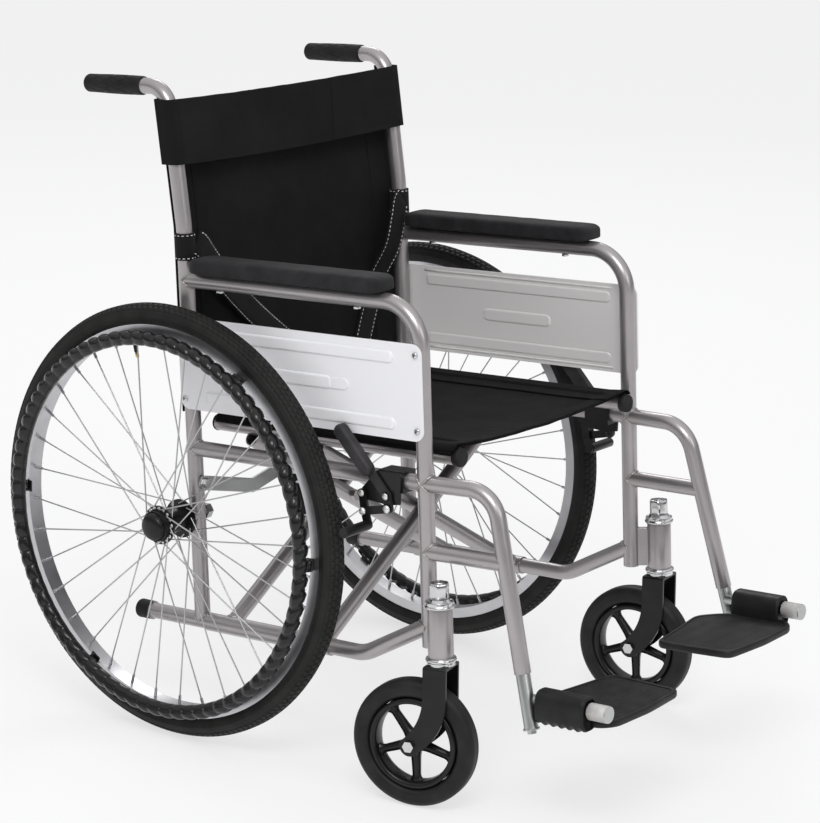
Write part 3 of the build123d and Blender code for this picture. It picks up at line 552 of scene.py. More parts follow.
def make_hub_trim(side):
    """Spoke heads round both flanges, the collar behind the cap, and the valve."""
    body = "wheel_" + NAMES[side]
    heads = []
    for out, face in ((0.0235, 1), (-0.0225, -1)):
        for k in range(18):
            angle = 2 * pi * (k + 0.5) / 18
            spoke = Vector((0, cos(angle), sin(angle)))
            heads.append(dome(wheel_centre(side, out) + spoke * 0.0238, Vector((side * face, 0, 0)),
                              0.0027, 0.0016, 12, 0.0005))
    piece("spoke_heads_" + NAMES[side], *gather(heads), spoke_metal, body, "spoke_wire")
    profile = [(0.0342, 0.0), (0.0342, 0.0188), (0.0365, 0.0186), (0.0392, 0.0172), (0.0412, 0.0135),
               (0.0424, 0.0072), (0.0427, 0.0)]
    cap = turned(wheel_centre(side), Vector((side, 0, 0)), profile, 48, closed=False)
    groove = turned(wheel_centre(side), Vector((side, 0, 0)),
                    [(0.0300, 0.0208), (0.0322, 0.0212), (0.0334, 0.0208), (0.0322, 0.0195)], 48)
    piece("hub_cap_" + NAMES[side], *gather([cap, groove]), gloss_black, body, "hub_black")
    angle = radians(74)
    spoke = Vector((0, cos(angle), sin(angle)))
    root = wheel_centre(side) + spoke * 0.262
    stem = turned(root, -spoke, [(0, 0), (0, 0.0045), (0.006, 0.0042), (0.008, 0.003), (0.024, 0.003), (0.024, 0)],
                  16, closed=False)
    tip = turned(root, -spoke, [(0.024, 0), (0.024, 0.0024), (0.031, 0.0024), (0.032, 0.0016), (0.032, 0)],
                 16, closed=False)
    piece("valve_stem_" + NAMES[side], *stem, grip_rubber, body, "tyre")
    piece("valve_tip_" + NAMES[side], *tip, brass, body, "zinc")


# ---------------------------------------------------------------- grips and pads

def make_grip(side):
    """Moulded push grip with crossed diagonal ribs and a rounded end."""
    front, rear = -0.061, -0.169
    radius = 0.0134
    rows, sides = 150, 96
    vertices = []
    for i in range(rows):
        t = i / (rows - 1)
        f = front + (rear - front) * t
        end = min(t, 1 - t) * abs(rear - front)
        shrink = 0.0012 * (1 - min(1, end / (0.007 if t > 0.5 else 0.003))) ** 2
        if t > 0.5:
            shrink *= 5
        belt = min(1, max(0, (t - 0.12) / 0.03)) * min(1, max(0, (0.93 - t) / 0.03))
        for j in range(sides):
            angle = 2 * pi * j / sides
            twist = f / 0.014
            first = abs(sin(angle * 4 + twist * pi / 2))
            second = abs(sin(angle * 4 - twist * pi / 2))
            cut = max(0.0, 1 - min(first, second) / 0.34)
            barrel = 0.94 + 0.06 * sin(pi * min(1.0, 0.15 + t))
            r = radius * barrel - shrink - 0.0010 * belt * cut
            vertices.append(at(side * HALF_WIDTH, f, 0.896) + SIDEWAYS * r * cos(angle) + UPWARD * r * sin(angle))
    faces = grid_faces(rows, sides, False, True)
    faces.append(tuple(range((rows - 1) * sides, rows * sides)))
    piece("ribbed_grip_" + NAMES[side], vertices, faces, grip_rubber, NAMES[side] + "_frame", "grip_rubber",
          ["push_grip_" + NAMES[side]])


def make_pad(side):
    """Foam arm pad: crowned top, round ends, a parting line and a flat underside."""
    low, high = 0.6452, 0.668
    start, end = 0.018, 0.353
    half = 0.024
    rows, sides = 72, 36
    vertices = []
    for i in range(rows):
        t = i / (rows - 1)
        ease = 0.5 - 0.5 * cos(pi * t)
        f = start + (end - start) * ease
        gap = min(f - start, end - f)
        nose = sqrt(max(0.0, 1 - (1 - min(1, gap / 0.02)) ** 2))
        wide = half * (0.35 + 0.65 * nose) if 0 < i < rows - 1 else half * 0.3
        tall = (high - low) / 2 * (0.3 + 0.7 * nose) if 0 < i < rows - 1 else 0.003
        middle = low + (high - low) / 2 - (high - low) * 0.08 * (1 - nose)
        for j in range(sides):
            angle = 2 * pi * j / sides
            c, s = cos(angle), sin(angle)
            power = 0.5 if s > 0 else 0.22
            x = wide * (abs(c) ** 0.42) * (1 if c > 0 else -1)
            z = middle + tall * (abs(s) ** power) * (1 if s > 0 else -1)
            if abs(c) > 0.97:
                x *= 0.985
            lump = 0.0005 * noise.noise(Vector((f * 45, x * 60, z * 60 + side)))
            vertices.append(at(side * HALF_WIDTH + x, f, min(high, max(low, z + lump))))
    faces = grid_faces(rows, sides, False, True)
    faces.append(tuple(reversed(range(sides))))
    faces.append(tuple(range((rows - 1) * sides, rows * sides)))
    pad = piece("foam_arm_pad_" + NAMES[side], vertices, faces, foam, NAMES[side] + "_frame", "pad_foam",
                ["arm_pad_" + NAMES[side]])
    smooth = pad.modifiers.new("smooth", "SUBSURF")
    smooth.levels = smooth.render_levels = 1


# ---------------------------------------------------------------- upholstery

def cloth_grid(name, rows, columns, where, thickness, material, slot, body, replaces):
    """A sheet from where(u, v), with its thickness added."""
    vertices = [where(i / (rows - 1), j / (columns - 1)) for i in range(rows) for j in range(columns)]
    sheet = piece(name, vertices, grid_faces(rows, columns), material, body, slot, replaces)
    thick = sheet.modifiers.new("thickness", "SOLIDIFY")
    thick.thickness = thickness
    thick.offset = 0
    return sheet


def ripple(x, y, z, scale, size):
    return size * noise.fractal(Vector((x * scale, y * scale, z * scale)), 0.9, 2.1, 4)


def make_seat():
    """Nylon seat slung between the two seat rails, hemmed along its edges."""
    rail_x, rail_z = SEAT_RAIL_X, SEAT_RAIL_Z
    start, end = 0.014, 0.424
    wrap = TUBE + 0.0022

    def where(u, v):
        f = start + (end - start) * u
        flank = 0.085
        if v < flank or v > 1 - flank:
            edge = (v / flank) if v < flank else ((1 - v) / flank)
            side = -1 if v < 0.5 else 1
            angle = radians(16 + 74 * edge)
            x = side * (rail_x + wrap * cos(angle))
            z = rail_z + wrap * sin(angle)
        else:
            across = (v - flank) / (1 - 2 * flank)
            x = rail_x * (2 * across - 1)
            sag = 1 - (2 * across - 1) ** 2
            z = rail_z + wrap - 0.0085 * sag + ripple(x, f, 0, 9, 0.0016) * sag
            z -= 0.002 * sag * sin(pi * u)
        return at(x, f, z)

    seat = cloth_grid("seat_cloth", 90, 120, where, 0.0022, seat_cloth, "upholstery", None, ["seat_sling"])
    parts = []
    for u0, u1 in ((0.0, 0.045), (0.955, 1.0)):
        rows = [where(u0 + (u1 - u0) * a / 4, b / 119) + UPWARD * 0.0018 for a in range(5) for b in range(120)]
        parts.append((rows, grid_faces(5, 120)))
    for v0, v1 in ((0.012, 0.19), (0.81, 0.988)):
        rows = []
        for a in range(61):
            lift = UPWARD * (0.0022 + 0.0025 * max(0.0, a / 60 - 0.93) / 0.07)
            rows += [where(1.012 * a / 60, v0 + (v1 - v0) * b / 24) + lift for b in range(25)]
        parts.append((rows, grid_faces(61, 25)))
    for v in (0.125, 0.875):
        for shift in (0.0, 0.012):
            line = [where(a / 60, v + (shift if v < 0.5 else -shift)) + UPWARD * 0.0029 for a in range(61)]
            parts.append(swept(line, 0.0007))
    hem = piece("seat_hem", *gather(parts), seat_cloth, None, "upholstery")
    hem.modifiers.new("thickness", "SOLIDIFY").thickness = 0.0012
    across = [at(0.19 * k, 0.2, rail_z) for k in (-1, 1)]
    for obj in (seat, hem):
        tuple(across[0])
        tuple(across[1])
        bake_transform(obj)


def lean(z):
    """How far the posts have leaned back at that height."""
    return -0.019 / (0.896 - 0.705) * max(0.0, z - 0.705)


def make_back():
    """Nylon back: a panel behind the posts, and a band across the top with a cuff round each post.

    The panel and the band's middle ride on the right side's frame; each cuff stays on its own post."""
    low, high = 0.448, 0.862
    half = 0.237
    behind = -0.0166

    def panel(u, v):
        z = low + (high - low) * u
        x = half * (2 * v - 1)
        inner = max(0.0, 1 - (x / 0.215) ** 2)
        f = behind + lean(z) - 0.006 * inner * (0.4 + 0.6 * sin(pi * u))
        f += ripple(x, z, 3, 7, 0.0034) * inner
        return at(x, f, z)

    back = cloth_grid("back_cloth", 90, 110, panel, 0.0024, back_cloth, "upholstery", "right_frame", ["back_sling"])

    band_low, band_high = 0.792, 0.880
    out = HALF_WIDTH + TUBE + 0.0017
    front = TUBE + 0.0024
    rear = -0.0166

    def band(u, v):
        z = band_low + (band_high - band_low) * u
        if v < 0.1:
            x, f = round_corner(-1, 1 - v / 0.1, out, front, rear)
        elif v > 0.9:
            x, f = round_corner(1, (v - 0.9) / 0.1, out, front, rear)
        else:
            k = (v - 0.1) / 0.8 * 2 - 1
            x = k * HALF_WIDTH
            inner = 1 - k * k
            f = front - 0.012 * inner * (0.35 + 0.65 * (1 - u)) + ripple(x, z, 1, 7, 0.001) * inner
            z -= 0.006 * inner * (1 - 0.35 * u)
            z += 0.0008 * noise.noise(Vector((x * 30, 0, 2))) * inner
        return at(x, f + lean(z), z)

    top = cloth_grid("back_band", 36, 160, lambda u, v: band(u, 0.1 + 0.8 * v), 0.0024, back_cloth, "upholstery",
                     "right_frame", ["back_sling"])
    for side, first in ((-1, 0.0), (1, 0.9)):
        cuff = cloth_grid("back_band_cuff_" + NAMES[side], 36, 40, lambda u, v: band(u, first + 0.1 * v), 0.0024,
                          back_cloth, "upholstery", NAMES[side] + "_frame", ["back_sling"] if side == -1 else ())

    # the band's lower hem and its seam, then the panel's two seams
    trims = []
    rows = [band(0.11 * a / 4, b / 199) + FORWARD * 0.0016 for a in range(5) for b in range(20, 180)]
    trims.append((rows, grid_faces(5, 160)))
    seam = [band(a / 20, 0.66) + FORWARD * 0.0012 for a in range(21)]
    trims.append(swept(seam, 0.0007))
    for x in (-0.19, 0.19):
        line = [panel(a / 30, (x / half + 1) / 2) + FORWARD * 0.0016 for a in range(31)]
        trims.append(swept(line, 0.0005))
    trim = piece("back_seams", *gather(trims), back_cloth, "right_frame", "upholstery")

    for obj in (back, top, trim):
        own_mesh(obj)


def round_corner(side, s, out, front, rear):
    """Path of the band from the front of a post, round its outside, to the back; s from 0 to 1."""
    line = bow([(HALF_WIDTH, front, 0), (out - 0.003, front - 0.0015, 0), (out, 0.004, 0), (out, -0.008, 0),
                (out - 0.002, rear + 0.001, 0), (HALF_WIDTH - 0.004, rear - 0.0022, 0)], 8)
    place_on = s * (len(line) - 1)
    k = min(int(place_on), len(line) - 2)
    p = line[k].lerp(line[k + 1], place_on - k)
    return side * p.x, p.y


# ---------------------------------------------------------------- lap belt

def strap(line, facing, width, thickness):
    """Flat webbing along a line; facing(i) is its face's direction. Returns the mesh and its two edge lines."""
    vertices = []
    edges = ([], [])
    count = len(line)
    for i, p in enumerate(line):
        along = (line[min(i + 1, count - 1)] - line[max(i - 1, 0)]).normalized()
        face = facing(i)
        across = along.cross(face).normalized()
        face = across.cross(along).normalized()
        for a, b in ((-1, -1), (-0.5, -1), (0, -1), (0.5, -1), (1, -1), (1.02, 0),
                     (1, 1), (0.5, 1), (0, 1), (-0.5, 1), (-1, 1), (-1.02, 0)):
            vertices.append(p + across * a * width / 2 + face * b * thickness / 2)
        for k in (0, 1):
            edges[k].append((p + across * (2 * k - 1) * (width / 2 - 0.0024), along, across, face))
    faces = grid_faces(count, 12, False, True)
    faces.append(tuple(reversed(range(12))))
    faces.append(tuple(range((count - 1) * 12, count * 12)))
    return (vertices, faces), edges


def stitches(edge, lift, pitch=0.0062, length=0.0036):
    """A run of separate stitches along an edge line, on both faces."""
    parts = []
    walked = 0.0
    due = pitch / 2
    for (p, along, across, face), (q, _, _, _) in zip(edge, edge[1:]):
        step = (q - p).length
        while due < walked + step:
            centre = p + (q - p) * ((due - walked) / step)
            for way in (-1, 1):
                middle = centre + face * way * lift
                rows = []
                for s in (-1, -0.5, 0, 0.5, 1):
                    swell = 0.0006 * (1 - 0.55 * s * s)
                    ring = middle + along * s * length / 2
                    rows += [ring + across * swell * cos(a) + face * swell * 0.7 * sin(a)
                             for a in (0, pi / 3, 2 * pi / 3, pi, 4 * pi / 3, 5 * pi / 3)]
                parts.append((rows, grid_faces(5, 6, False, True) + [(5, 4, 3, 2, 1, 0), (24, 25, 26, 27, 28, 29)]))
            due += pitch
        walked += step
    return parts


def make_belt(side):
    """Webbing loop round a rear post, and a strap that hangs from it across the back."""
    width, thickness = 0.036, 0.0018
    x = side * HALF_WIDTH
    body = NAMES[side] + "_frame"
    loop = TUBE + 0.0022
    top = {-1: (-0.220, 0.684), 1: (0.222, 0.686)}[side]
    end = {-1: (-0.060, 0.548), 1: (0.160, 0.510)}[side]
    ring = []
    count = 48
    for k in range(count + 1):
        angle = 2 * pi * k / count
        ring.append(at(x, 0, 0.680) + SIDEWAYS * loop * cos(angle) + FORWARD * loop * sin(angle))
    post = at(x, 0, 0.680)
    ring_mesh, ring_edges = strap(ring, lambda i: ring[i] - post, width, thickness)
    drop = [(top[0] + side * 0.004, 0.0128, top[1]), (top[0] * 0.97 + end[0] * 0.03, 0.0132, top[1] - 0.006)]
    reach = 1.42 if side == -1 else 1.15
    depths = {-1: (0.006, -0.003, -0.007, -0.009, -0.010, -0.010),
              1: (0.0132, 0.011, -0.006, -0.009, -0.010, -0.010)}[side]
    for t, f in zip((0.12, 0.3, 0.5, 0.7, 0.88, 1.0), depths):
        drop.append((top[0] + (end[0] - top[0]) * t * reach, f,
                     top[1] + (end[1] - top[1]) * t * reach - 0.010 * sin(pi * t)))
    drop = bow([at(*p) for p in drop], 10)
    drop_mesh, drop_edges = strap(drop, lambda i: FORWARD, width, thickness)
    for name, mesh, edges, line in (("loop", ring_mesh, ring_edges, ring), ("strap", drop_mesh, drop_edges, drop)):
        belt = piece(f"belt_{name}_{NAMES[side]}", *mesh, webbing, body, "webbing", ["lap_belt_" + NAMES[side]])
        dashes = []
        for edge in edges:
            dashes += stitches(edge, thickness / 2 + 0.0001)
        stitching = piece(f"belt_{name}_stitching_{NAMES[side]}", *gather(dashes), thread, body, "webbing")
        if name == "strap":
            for obj in (belt, stitching):
                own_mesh(obj)
        length = sum((b - a).length for a, b in zip(line, line[1:]))


# ---------------------------------------------------------------- frame details

def weld_bead(centre, branch, main, main_radius=TUBE):
    """A rippled bead where a tube branches off a round member."""
    size, radius = 0.0013, TUBE
    branch, main = branch.normalized(), main.normalized()
    main = (main - branch * main.dot(branch)).normalized()
    across = branch.cross(main)
    steps = 96
    line = []
    for k in range(steps):
        angle = 2 * pi * k / steps
        reach = main_radius ** 2 - (radius * cos(angle)) ** 2
        line.append(centre + branch * (sqrt(max(reach, 0.0)) + 0.0004) + across * (radius + 0.0003) * cos(angle)
                    + main * (radius + 0.0003) * sin(angle))

    def section(i):
        swell = size * (1 + 0.16 * sin(i * 2 * pi / 6))
        return round_section(swell, 8)

    return swept(line, section, closed=True)


def make_welds(side):
    x = side * HALF_WIDTH
    beads = [
        weld_bead(at(x, 0, 0.634), FORWARD, UPWARD),
        weld_bead(at(x, 0, 0.398), FORWARD, UPWARD),
        weld_bead(at(x, FRONT_POST_F, 0.398), -FORWARD, UPWARD),
        weld_bead(at(x, FRONT_POST_F, 0.398), FORWARD, UPWARD),
        weld_bead(at(x, FRONT_POST_F, 0.307), FORWARD, UPWARD),
        weld_bead(at(x, 0, LOWER_RAIL_Z), UPWARD, FORWARD),
        weld_bead(at(x, FRONT_POST_F, 0.207), at(x, 0.293, LOWER_RAIL_Z) - at(x, FRONT_POST_F, 0.207), UPWARD),
    ]
    piece("frame_welds_" + NAMES[side], *gather(beads), weld_metal, NAMES[side] + "_frame", "silver_paint")
    rise, run = SEAT_RAIL_Z - LOWER_RAIL_Z, SEAT_RAIL_X + HALF_WIDTH
    reach = sqrt(rise ** 2 + run ** 2)
    angle = atan2(rise, run) - atan2(0.016, sqrt(reach ** 2 - 0.016 ** 2))
    way = Vector((-side, 0, 0)) * cos(angle) + UPWARD * sin(angle)
    cross = {-1: (0.052, 0.217), 1: (0.076, 0.193)}[side]
    beads = [weld_bead(at(x, f, LOWER_RAIL_Z), way, FORWARD, 0.0128) for f in cross]
    piece("cross_welds_" + NAMES[side], *gather(beads), weld_metal, "cross_" + NAMES[side], "silver_paint")


def make_plugs(side):
    """Black plastic plugs on the open ends of the seat rail and the lower rail."""
    x = side * HALF_WIDTH
    rear = turned(at(x, -0.116, LOWER_RAIL_Z), -FORWARD,
                  [(-0.022, 0.0132), (0.0, 0.0134), (0.0018, 0.0128), (0.0028, 0.0105), (0.003, 0.0)], 40,
                  closed=False)
    piece("rail_cap_" + NAMES[side], *rear, plug_plastic, NAMES[side] + "_frame", "hub_black")
    seat_x = -side * SEAT_RAIL_X
    front = turned(at(seat_x, 0.424, SEAT_RAIL_Z), FORWARD,
                   [(-0.0005, 0.011), (-0.0002, 0.0126), (0.0080, 0.0126), (0.0096, 0.0118), (0.0100,
                                                                                              0.0100), (0.0100, 0.0)],
                   40, closed=False)
    rear = turned(at(seat_x, 0.008, SEAT_RAIL_Z), -FORWARD,
                  [(-0.0005, 0.011), (0.0, 0.0118), (0.002, 0.0112), (0.0026, 0.0)], 40, closed=False)
    piece("seat_rail_plugs_" + NAMES[side], *gather([front, rear]), plug_plastic, "cross_" + NAMES[side], "hub_black")


def make_panel_screws(side):
    """Domed cross-head screws on the side panel."""
    heads, slots = [], []
    out = Vector((side, 0, 0))
    for f in (0.0, FRONT_POST_F):
        for z in (0.470, 0.570):
            face = at(side * 0.2504, f, z)
            heads.append(dome(face, out, 0.0040, 0.0018, 24, 0.001))
            for way in (FORWARD, UPWARD):
                other = out.cross(way)
                rows = [face + out * h + way * a * 0.0020 + other * b * 0.0005
                        for h in (0.0010, 0.00195) for a, b in ((-1, -1), (1, -1), (1, 1), (-1, 1))]
                slots.append((rows, [(0, 1, 2, 3), (4, 7, 6, 5), (0, 4, 5, 1), (1, 5, 6, 2), (2, 6, 7, 3),
                                     (3, 7, 4, 0)]))
    body = NAMES[side] + "_frame"
    piece("panel_screws_" + NAMES[side], *gather(heads), chrome, body, "zinc")
    piece("panel_screw_slots_" + NAMES[side], *gather(slots), plug_plastic, body, "hub_black", smooth=False)


def make_panel_ribs(side):
    """Soft pressed ribs on both faces of the side panel, and its rolled long edges."""
    low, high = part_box("side_panel_" + NAMES[side])
    outer = max(abs(low.x), abs(high.x))
    middle_f, middle_z = 0.203, 0.520
    parts = []
    for base, way in ((outer - 0.0022, 1), (0.2461 + 0.0006, -1)):
        for rise, length, width in ((0.044, 0.334, 0.017), (-0.044, 0.334, 0.017), (0.0, 0.122, 0.019)):
            columns, across = 80, 14
            rows = []
            for i in range(columns):
                along = -1 + 2 * i / (columns - 1)
                f = along * length / 2
                end = max(0.0, abs(f) - (length / 2 - width / 2)) / (width / 2)
                half = width / 2 * sqrt(max(0.0, 1 - end ** 2)) + 0.0002
                for j in range(across):
                    b = -1 + 2 * j / (across - 1)
                    inside = max(0.0, 1 - max(abs(b), end) ** 4)
                    height = (0.0027 if way == 1 else 0.0022) * min(1.0, 1.6 * inside)
                    rows.append(at(side * (base + way * height), middle_f + f, middle_z + rise + b * half))
            parts.append((rows, grid_faces(columns, across)))
            flat = [at(side * base, middle_f + (-1 + 2 * i / 7) * length / 2 * 0.97,
                       middle_z + rise + k * width * 0.3)
                    for i in range(8) for k in (-1, 1)]
            parts.append((flat, grid_faces(8, 2)))
    for z in (0.4625, 0.5775):
        roll = [at(side * 0.2463, 0.035 + 0.336 * k / 12, z) for k in range(13)]
        parts.append(swept(roll, 0.0016))
    piece("panel_ribs_" + NAMES[side], *gather(parts), panel_paint, NAMES[side] + "_frame", "white_plastic")


def rounded_loop(corners, radius, steps=6):
    """A closed outline with its corners rounded."""
    loop = []
    count = len(corners)
    for i in range(count):
        before, corner, after = (Vector(corners[(i + k) % count]) for k in (-1, 0, 1))
        reach = min(radius, (before - corner).length * 0.45, (after - corner).length * 0.45)
        a = corner + (before - corner).normalized() * reach
        b = corner + (after - corner).normalized() * reach
        for k in range(steps + 1):
            t = k / steps
            loop.append(a * (1 - t) ** 2 + corner * 2 * t * (1 - t) + b * t * t)
    return loop


def make_footplate(side):
    """Footplate with a raised border round a pipped top, its hinge block and the rod's grey cap."""
    hinge_z = 0.134 + (0.018 if side == 1 else 0.0)
    top = hinge_z - 0.014
    corners = [(0.230, 0.606), (0.214, 0.570), (0.186, 0.5455), (0.120, 0.557), (0.052, 0.568), (0.056, 0.628),
               (0.061, 0.680), (0.140, 0.687), (0.212, 0.684), (0.230, 0.668)]
    loop = rounded_loop(corners, 0.013)
    centre = Vector((0.147, 0.612))
    levels = [(0.95, -0.010), (0.985, -0.0096), (1.0, -0.0075), (1.0, -0.0018), (0.992, -0.0004), (0.98, 0.0),
              (0.925, 0.0), (0.912, -0.0009)]
    vertices = []
    for scale, drop in levels:
        for p in loop:
            q = centre + (p - centre) * scale
            vertices.append(at(side * q.x, q.y, top + drop))
    count = len(loop)
    faces = grid_faces(len(levels), count, False, True)
    faces.append(tuple(range(count)))
    faces.append(tuple(reversed(range((len(levels) - 1) * count, len(levels) * count))))
    hinge = Vector((0.235, hinge_z - 0.0055))
    start, end = 0.582, 0.658
    rows, sides = 96, 40
    block = []
    for i in range(rows):
        t = i / (rows - 1)
        f = start + (end - start) * t
        gap = min(f - start, end - f)
        shrink = 0.003 * (1 - min(1.0, gap / 0.003)) ** 2
        scallop = 0.0026 * abs(sin(pi * (f - start) / 0.0127))
        for j in range(sides):
            angle = 2 * pi * j / sides
            c, s = cos(angle), sin(angle)
            out = (0.0172 - shrink) * abs(c) ** 0.62 * (1 if c > 0 else -1)
            up = (0.0233 - shrink) * abs(s) ** (0.9 if s > 0 else 0.55) * (1 if s > 0 else -1)
            if s < -0.3:
                up += scallop * min(1.0, (-s - 0.3) / 0.3)
            block.append(at(side * (hinge.x + out), f, hinge.y + up))
    block_faces = grid_faces(rows, sides, False, True)
    block_faces.append(tuple(range(sides)))
    block_faces.append(tuple(reversed(range((rows - 1) * sides, rows * sides))))
    body = "footplate_" + NAMES[side]
    plate = piece("foot_plate_" + NAMES[side], *gather([(vertices, faces), (block, block_faces)]),
                  plate_plastic, body,
                  "plate_plastic", ["footplate_" + NAMES[side]])
    plate.data.materials.append(pip_plastic)
    plate.data.polygons[len(faces) - 1].material_index = 1
    plate.data.polygons[len(faces) - 1].use_smooth = False
    cap = turned(at(side * 0.235, 0.6592, hinge_z), FORWARD,
                 [(0, 0.0075), (0, 0.0106), (0.001, 0.0113), (0.0265, 0.0113), (0.0284, 0.0103), (0.0288, 0.008),
                  (0.0288, 0)], 40, closed=False)
    piece("rod_cap_" + NAMES[side], *cap, cap_plastic, "footrest_" + NAMES[side], "white_plastic")


def make_caster_wheel(side):
    """Moulded caster wheel: a lipped rim, a hub, and five ridged spokes that flare into both."""
    spin = joint("caster_spin_" + NAMES[side])
    centre, axis = Vector(spin["pos_m"]), Vector(spin["axis"])
    up = UPWARD
    across = axis.cross(up).normalized()
    rim = turned(centre, axis, [(-0.0135, 0.0615), (-0.0142, 0.0575), (-0.0125, 0.0545), (-0.007, 0.0532),
                                (0.0, 0.0528), (0.007, 0.0532), (0.0125, 0.0545), (0.0142, 0.0575),
                                (0.0135, 0.0615)], 96)
    hub = turned(centre, axis, [(-0.0155, 0.0058), (-0.0155, 0.0105), (-0.0145, 0.0118), (-0.006, 0.0128),
                                (0.006, 0.0128), (0.0145, 0.0118), (0.0155, 0.0105), (0.0155, 0.0058)], 48)
    parts = [rim, hub]
    for k in range(5):
        angle = radians(36 + 72 * k)
        spoke = up * cos(angle) + across * sin(angle)
        edge = axis.cross(spoke)
        rows = []
        steps = 18
        for i in range(steps):
            t = i / (steps - 1)
            r = 0.008 + (0.0545 - 0.008) * t
            flare = max(0.0, (t - 0.8) / 0.2) ** 2
            wide = 0.0062 - 0.0012 * t + 0.006 * flare + 0.003 * max(0.0, (0.3 - t) / 0.3) ** 2
            thick = 0.0052 + 0.0045 * (1 - t) ** 2 + 0.003 * flare
            rows += [centre + spoke * r + edge * wide * a + axis * thick * b for a, b in
                     ((-1, -0.45), (-0.4, -0.6), (0, -1), (0.4, -0.6), (1, -0.45), (1.04, 0),
                      (1, 0.45), (0.4, 0.6), (0, 1), (-0.4, 0.6), (-1, 0.45), (-1.04, 0))]
        parts.append((rows, grid_faces(steps, 12, False, True)))
    piece("caster_spokes_" + NAMES[side], *gather(parts), gloss_black, "caster_wheel_" + NAMES[side],
          "caster_plastic", ["caster_wheel_" + NAMES[side]])


def make_caster_cups(side):
    """Chrome bell and nut over the caster housing, and the cup under it."""
    _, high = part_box("caster_hardware_" + NAMES[side])
    base_z, cup_z = 0.242, 0.175
    top = (high.z - at(side * CASTER_X, CASTER_F, 0.0).z) / UPWARD.z - base_z
    base = at(side * CASTER_X, CASTER_F, base_z)
    bell = turned(base, UPWARD, [(-0.0004, 0.0174), (0.0006, 0.0198), (0.0022, 0.0206), (0.0040, 0.0204),
                                 (0.0050, 0.0190), (0.0066, 0.0184), (0.0080, 0.0184), (0.0090, 0.0174),
                                 (0.0096, 0.0140), (0.0120, 0.0136), (0.0120, 0.0)], 64, closed=False)
    cup = turned(at(side * CASTER_X, CASTER_F, cup_z), UPWARD,
                 [(0.0006, 0.0170), (0.0, 0.0196), (-0.0018, 0.0208), (-0.0040, 0.0206), (-0.0058, 0.0188),
                  (-0.0066, 0.0150)], 64, closed=False)
    nut = []
    count = 6
    for height, size in ((0.0112, 0.0126), (0.0120, 0.0136), (top - 0.0020, 0.0136), (top, 0.0128),
                         (top + 0.0003, 0.0116), (top + 0.0003, 0.0100), (top + 0.0001, 0.0098)):
        for j in range(48):
            angle = 2 * pi * j / 48
            sector = (angle + pi / count) % (2 * pi / count) - pi / count
            flat = size * cos(pi / count) / cos(sector)
            radius = min(flat * 1.06, size) if size > 0.011 else size
            nut.append(base + UPWARD * height + SIDEWAYS * radius * cos(angle) + FORWARD * radius * sin(angle))
    faces = grid_faces(7, 48, False, True)
    faces.append(tuple(reversed(range(6 * 48, 7 * 48))))
    body = "caster_" + NAMES[side]
    piece("caster_cups_" + NAMES[side], *gather([bell, cup]), chrome, body, "zinc")
    piece("caster_nut_" + NAMES[side], nut, faces, chrome, body, "zinc")


def make_rivets(side):
    """Bright domed rivets on the wheel lock's four pivots."""
    out = Vector((side, 0, 0))
    for name, body, x, skirt, places in (
            ("lock_rivets_", NAMES[side] + "_frame", 0.2568, 0.0014, ((0.355, 0.379), (0.315, 0.379))),
            ("link_rivets_", "brake_link_" + NAMES[side], 0.2600, 0.0006, ((0.358, 0.363), (0.317, 0.355)))):
        heads = [dome(at(side * x, f, z), out, 0.0055, 0.0034, 24, skirt) for f, z in places]
        piece(name + NAMES[side], *gather(heads), rivet_metal, body, "zinc")


def make_caster_rings(side):
    """Moulded ring lines on both walls of the solid caster tyre."""
    spin = joint("caster_spin_" + NAMES[side])
    centre, axis = Vector(spin["pos_m"]), Vector(spin["axis"])
    parts = []
    for way in (-1, 1):
        for offset, radius, size in ((0.0142, 0.0745, 0.0006), (0.0146, 0.0715, 0.0005)):
            ring = [(way * (offset + a), radius + b) for a, b in round_section(size, 8)]
            parts.append(turned(centre, axis, ring, 120))
    piece("caster_rings_" + NAMES[side], *gather(parts), caster_rubber, "caster_wheel_" + NAMES[side],
          "caster_rubber")


for side in SIDES:
    for make in (make_panel_ribs, make_footplate, make_rivets, make_caster_rings, make_caster_wheel, make_caster_cups,
                 make_tyre, make_hand_rim, make_hub_trim, make_grip, make_pad, make_belt, make_welds, make_plugs,
                 make_panel_screws):
        make(side)
make_seat()
make_back()


# ---------------------------------------------------------------- stage and light

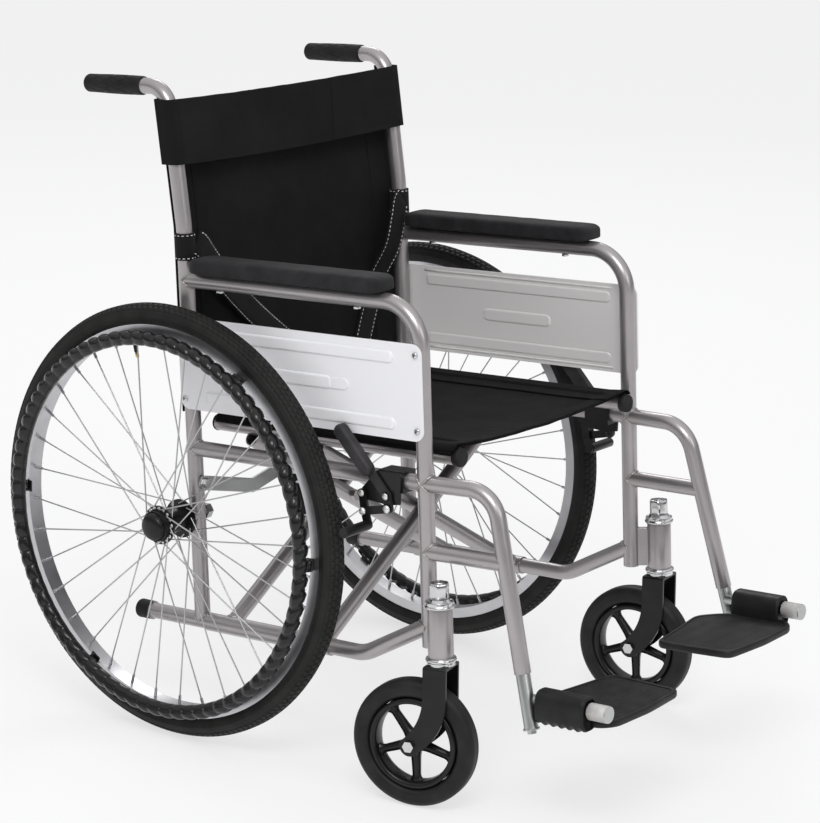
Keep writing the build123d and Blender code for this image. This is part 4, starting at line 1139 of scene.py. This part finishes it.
def make_floor():
    size = 60
    mesh = bpy.data.meshes.new("floor")
    mesh.from_pydata([(-size, -size, -0.0005), (size, -size, -0.0005), (size, size, -0.0005), (-size, size, -0.0005)],
                     [], [(0, 1, 2, 3)])
    paper = shader("floor_paper", (0.3, 0.3, 0.3), 0.95, Emission_Color=(1, 1, 1, 1), Emission_Strength=0.665)
    polish(paper, cloudy(paper, 3, 2), 0.9, 1.0)
    paper.node_tree.nodes["Principled BSDF"].inputs["Specular IOR Level"].default_value = 0.0
    mesh.materials.append(paper)
    floor = bpy.data.objects.new("floor", mesh)
    bpy.context.scene.collection.objects.link(floor)


def make_sky():
    """Soft studio surround, brighter overhead and darker round the sides, so that metal has tone."""
    world = bpy.data.worlds.new("studio")
    world.use_nodes = True
    tree = world.node_tree
    coords = tree.nodes.new("ShaderNodeTexCoord")
    split = tree.nodes.new("ShaderNodeSeparateXYZ")
    ramp = tree.nodes.new("ShaderNodeValToRGB")
    tree.links.new(coords.outputs["Generated"], split.inputs[0])
    tree.links.new(split.outputs["Z"], ramp.inputs["Fac"])
    stops = ((0.0, 0.10), (0.2, 0.22), (0.45, 0.62), (1.0, 0.9))
    ramp.color_ramp.elements[0].position, ramp.color_ramp.elements[1].position = 0.0, 1.0
    for position, _ in stops[1:-1]:
        ramp.color_ramp.elements.new(position)
    for element, (_, level) in zip(ramp.color_ramp.elements, stops):
        element.color = (level, level, level * 1.01, 1)
    tree.links.new(ramp.outputs["Color"], tree.nodes["Background"].inputs["Color"])
    tree.nodes["Background"].inputs["Strength"].default_value = 1.0
    bpy.context.scene.world = world


def make_light(name, towards, place_at, size, power):
    data = bpy.data.lights.new(name, "AREA")
    data.shape = "RECTANGLE"
    data.size, data.size_y = size
    data.energy = power
    light = bpy.data.objects.new(name, data)
    light.location = place_at
    light.rotation_mode = "QUATERNION"
    light.rotation_quaternion = (Vector(towards) - Vector(place_at)).to_track_quat("-Z", "Y")
    bpy.context.scene.collection.objects.link(light)


make_floor()
make_sky()
make_light("key", (0, 0, 0.45), (-2.4, -1.6, 3.4), (2.0, 1.2), 62)
make_light("fill", (0, 0, 0.45), (-0.6, -3.6, 2.2), (1.2, 1.6), 14)
make_light("rim", (0, 0, 0.5), (2.6, 2.2, 3.0), (1.6, 1.2), 26)
bpy.context.scene.view_settings.view_transform = "Standard"
